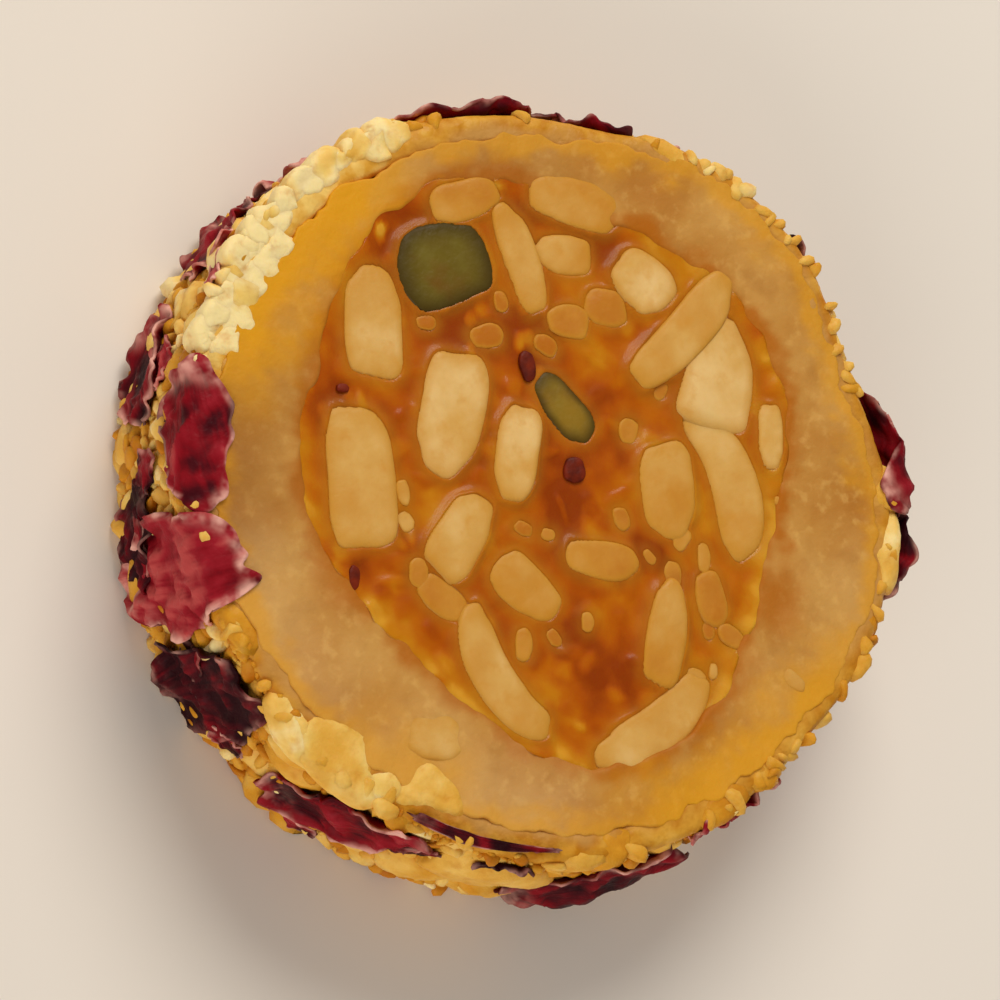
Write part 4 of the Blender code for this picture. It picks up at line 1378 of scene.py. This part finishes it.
def buildSyrup():
    curve = bpy.data.curves.new("coatSyrup", "CURVE")
    curve.dimensions = "3D"
    spline = curve.splines.new("POLY")
    spline.points.add(syrup["spokes"] - 1)
    spline.use_cyclic_u = True
    for i, point in enumerate(spline.points):
        angle = math.tau * i / syrup["spokes"]
        swell = syrup["reach"] + syrup["swell"] * coatThins(angle)
        radius = (outlineRadius("coat", angle) + swell - syrup["width"] / 2) * mm
        point.co = spotAt(radius, angle, (syrup["lowest"] + syrup["height"] / 2) * mm, 1.0)
    piece = addObject("coatSyrup", curve)
    labels = ("Width", "Height", "Corner", "Step", "Depth", "Size")
    sizes = {label: syrup[label.lower()] * mm for label in labels}
    piece = applyTree(piece, sweepTree, Finish=finishes["goldenSyrup"], **sizes)
    bm = bmesh.new()
    bm.from_mesh(piece.data)
    bmesh.ops.remove_doubles(bm, verts=bm.verts, dist=0.01 * mm)  # the seam of the swept bar
    bmesh.ops.recalc_face_normals(bm, faces=bm.faces)
    closeInto(bm, piece.data)
    piece.data.shade_smooth()
    spots = np.array([vert.co[:] for vert in piece.data.vertices]) / mm
    around, reach = np.arctan2(spots[:, 1], spots[:, 0]), np.hypot(spots[:, 0], spots[:, 1])
    degrees = np.degrees(around)
    outside = reach > outlineRadius("coat", around) - 0.9
    farSide = nearTurn(degrees, *syrup["farPart"])
    onTop = smoothStep(thickness - 3.2 * farSide - 0.6, thickness - 0.3, spots[:, 2])
    addAttributes(piece.data, bare=outside * (1 - petalCover(around, spots[:, 2], 0.7)) * (1 - onTop))
    pale = nearTurn(degrees, *syrup["palePart"])
    rim = smoothStep(1.8, 0.2, outlineRadius("coat", around) + syrup["reach"] - reach)
    soak = smoothStep(1.3, 0.1, reach - outlineRadius("paste", around) + 0.5 * waveNoise(spots, 2.2, 93))
    for centre, half, _, strength in paste["golds"]:  # where the paste is golden, the syrup is too
        soak = soak * (1 - strength * nearTurn(degrees, centre, half, 0.45 * half))
    # lighter along the outer edge of the cut, most on the pale side: a painted highlight
    tone = syrup["meanTone"] + 0.4 * pale + (0.08 + 0.24 * pale) * rim + 0.1 * waveNoise(spots, 5.0, 91)
    addAttributes(piece.data, soak=soak * (1 - pale), tone=tone)
    return piece


def scatterOn(surface, name, shapes, sizes, finish):
    piece = addObject(name, surface.data.copy())
    span = {label.capitalize(): Vector(sizes[label]) * mm for label in ("smallest", "largest")}
    applyTree(piece, scatteredTree, Shapes=shapes, Finish=finish, Seed=sizes["seed"],
              Low_Cut=0.1 * mm, High_Cut=(thickness + 0.05) * mm, Spacing=sizes["spacing"] * mm,
              Palest=sizes["palest"], **span)
    piece.data.materials.clear()
    piece.data.materials.append(finish)
    return piece


syrupPiece = buildSyrup()
bitsPiece = scatterOn(syrupPiece, "smallNutBits", shapes, bits, finishes["choppedNut"])
crumbPiece = scatterOn(syrupPiece, "coatCrumbs", crumbShapes, crumbs, finishes["choppedNut"])
for collection in (shapes, fineShapes, crumbShapes):
    for shape in list(collection.objects):
        bpy.data.objects.remove(shape)
    bpy.data.collections.remove(collection)
print("syrup and crumbs ready")

# what rides on what
coatPieces = [syrupPiece, sideBitPiece, edgeBitPiece, chunkPiece]
coatPieces += [bitsPiece, crumbPiece, petalPiece, scrapPiece]
for pieces, node, slot in (
    (fillingPieces, "nut_filling", "nut_filling"),
    ([pastePiece], "cashew_paste", "cashew_paste"),
    ([pasteNutPiece], "cashew_paste", "nut_petal_coat"),
    (coatPieces, "nut_petal_coat", "nut_petal_coat"),
):
    for piece in pieces:
        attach(piece, "root")
        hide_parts(node)

# floor, light and camera
studio = {
    "floor": ("#E9DFD2", "#ECE3D7"),
    "elevation": 62.0,  # of the camera over the cut, in degrees
    "roll": 65.0,  # turn of the picture, in degrees
    "lens": 200.0,
    "field": 0.071,  # width of the view at the slice, in metres
    "key": (4.9, 0.5, (1.0, 0.96, 0.90)),  # power, size, colour
    "fill": (3.4, 0.7, (1.0, 0.97, 0.94)),
    "lightDistance": 0.8,
    "room": 0.3,
    "roomColour": (1.0, 0.97, 0.93, 1.0),
}


def makeFloor():
    mesh = bpy.data.meshes.new("floor")
    bm = bmesh.new()
    bmesh.ops.create_grid(bm, x_segments=2, y_segments=2, size=2.0)
    closeInto(bm, mesh)
    floor = addObject("floor", mesh)
    f = Finish("floorPaper", Roughness=0.7)
    first, second = studio["floor"]
    f.sketch.feed(f.shader, Base_Color=f.mix(f.patches(6, 0.3, 0.7), hexColour(first), second))
    mesh.materials.append(f.material)


def pictureAxes():  # the camera's right, up and back, in the slice's own frame
    lift, roll = math.radians(studio["elevation"]), math.radians(studio["roll"])
    back = Vector((0.0, -math.cos(lift), math.sin(lift)))
    level = Vector((1.0, 0.0, 0.0))
    right = level * math.cos(roll) + back.cross(level) * math.sin(roll)
    return right, back.cross(right), back


def makeCamera():
    right, up, back = pictureAxes()
    camera = bpy.data.cameras.new("camera")
    camera.lens = studio["lens"]
    camera.clip_start, camera.clip_end = 0.01, 20.0
    distance = studio["field"] * camera.lens / camera.sensor_width
    holder = addObject("camera", camera)
    centre = Vector((0.0, 0.0, thickness / 2 * mm))
    looking = Matrix((right, up, back)).transposed().to_4x4()
    holder.matrix_world = Matrix.Translation(centre + back * distance) @ looking
    bpy.context.scene.camera = holder


def makeLight(name, towards, power, size, colour):  # an area light that looks at the slice
    data = bpy.data.lights.new(name, "AREA")
    data.shape = "DISK"
    data.energy, data.size, data.color = power, size, colour
    light = addObject(name, data)
    light.location = Vector(towards).normalized() * studio["lightDistance"]
    light.rotation_euler = (-light.location).to_track_quat("-Z", "Y").to_euler()


makeFloor()
makeCamera()
right, up, back = pictureAxes()
makeLight("keyLight", up * 1.1 + right * 0.15 + Vector((0, 0, 0.75)), *studio["key"])
makeLight("fillLight", back * 0.7 - right * 0.3 - up * 0.7, *studio["fill"])
world = bpy.data.worlds.new("softRoom")
world.use_nodes = True
backdrop = world.node_tree.nodes["Background"]
NodeSketch(world.node_tree).feed(backdrop, Color=studio["roomColour"], Strength=studio["room"])
bpy.context.scene.world = world
bpy.context.scene.view_settings.view_transform = "Standard"
print("studio ready")
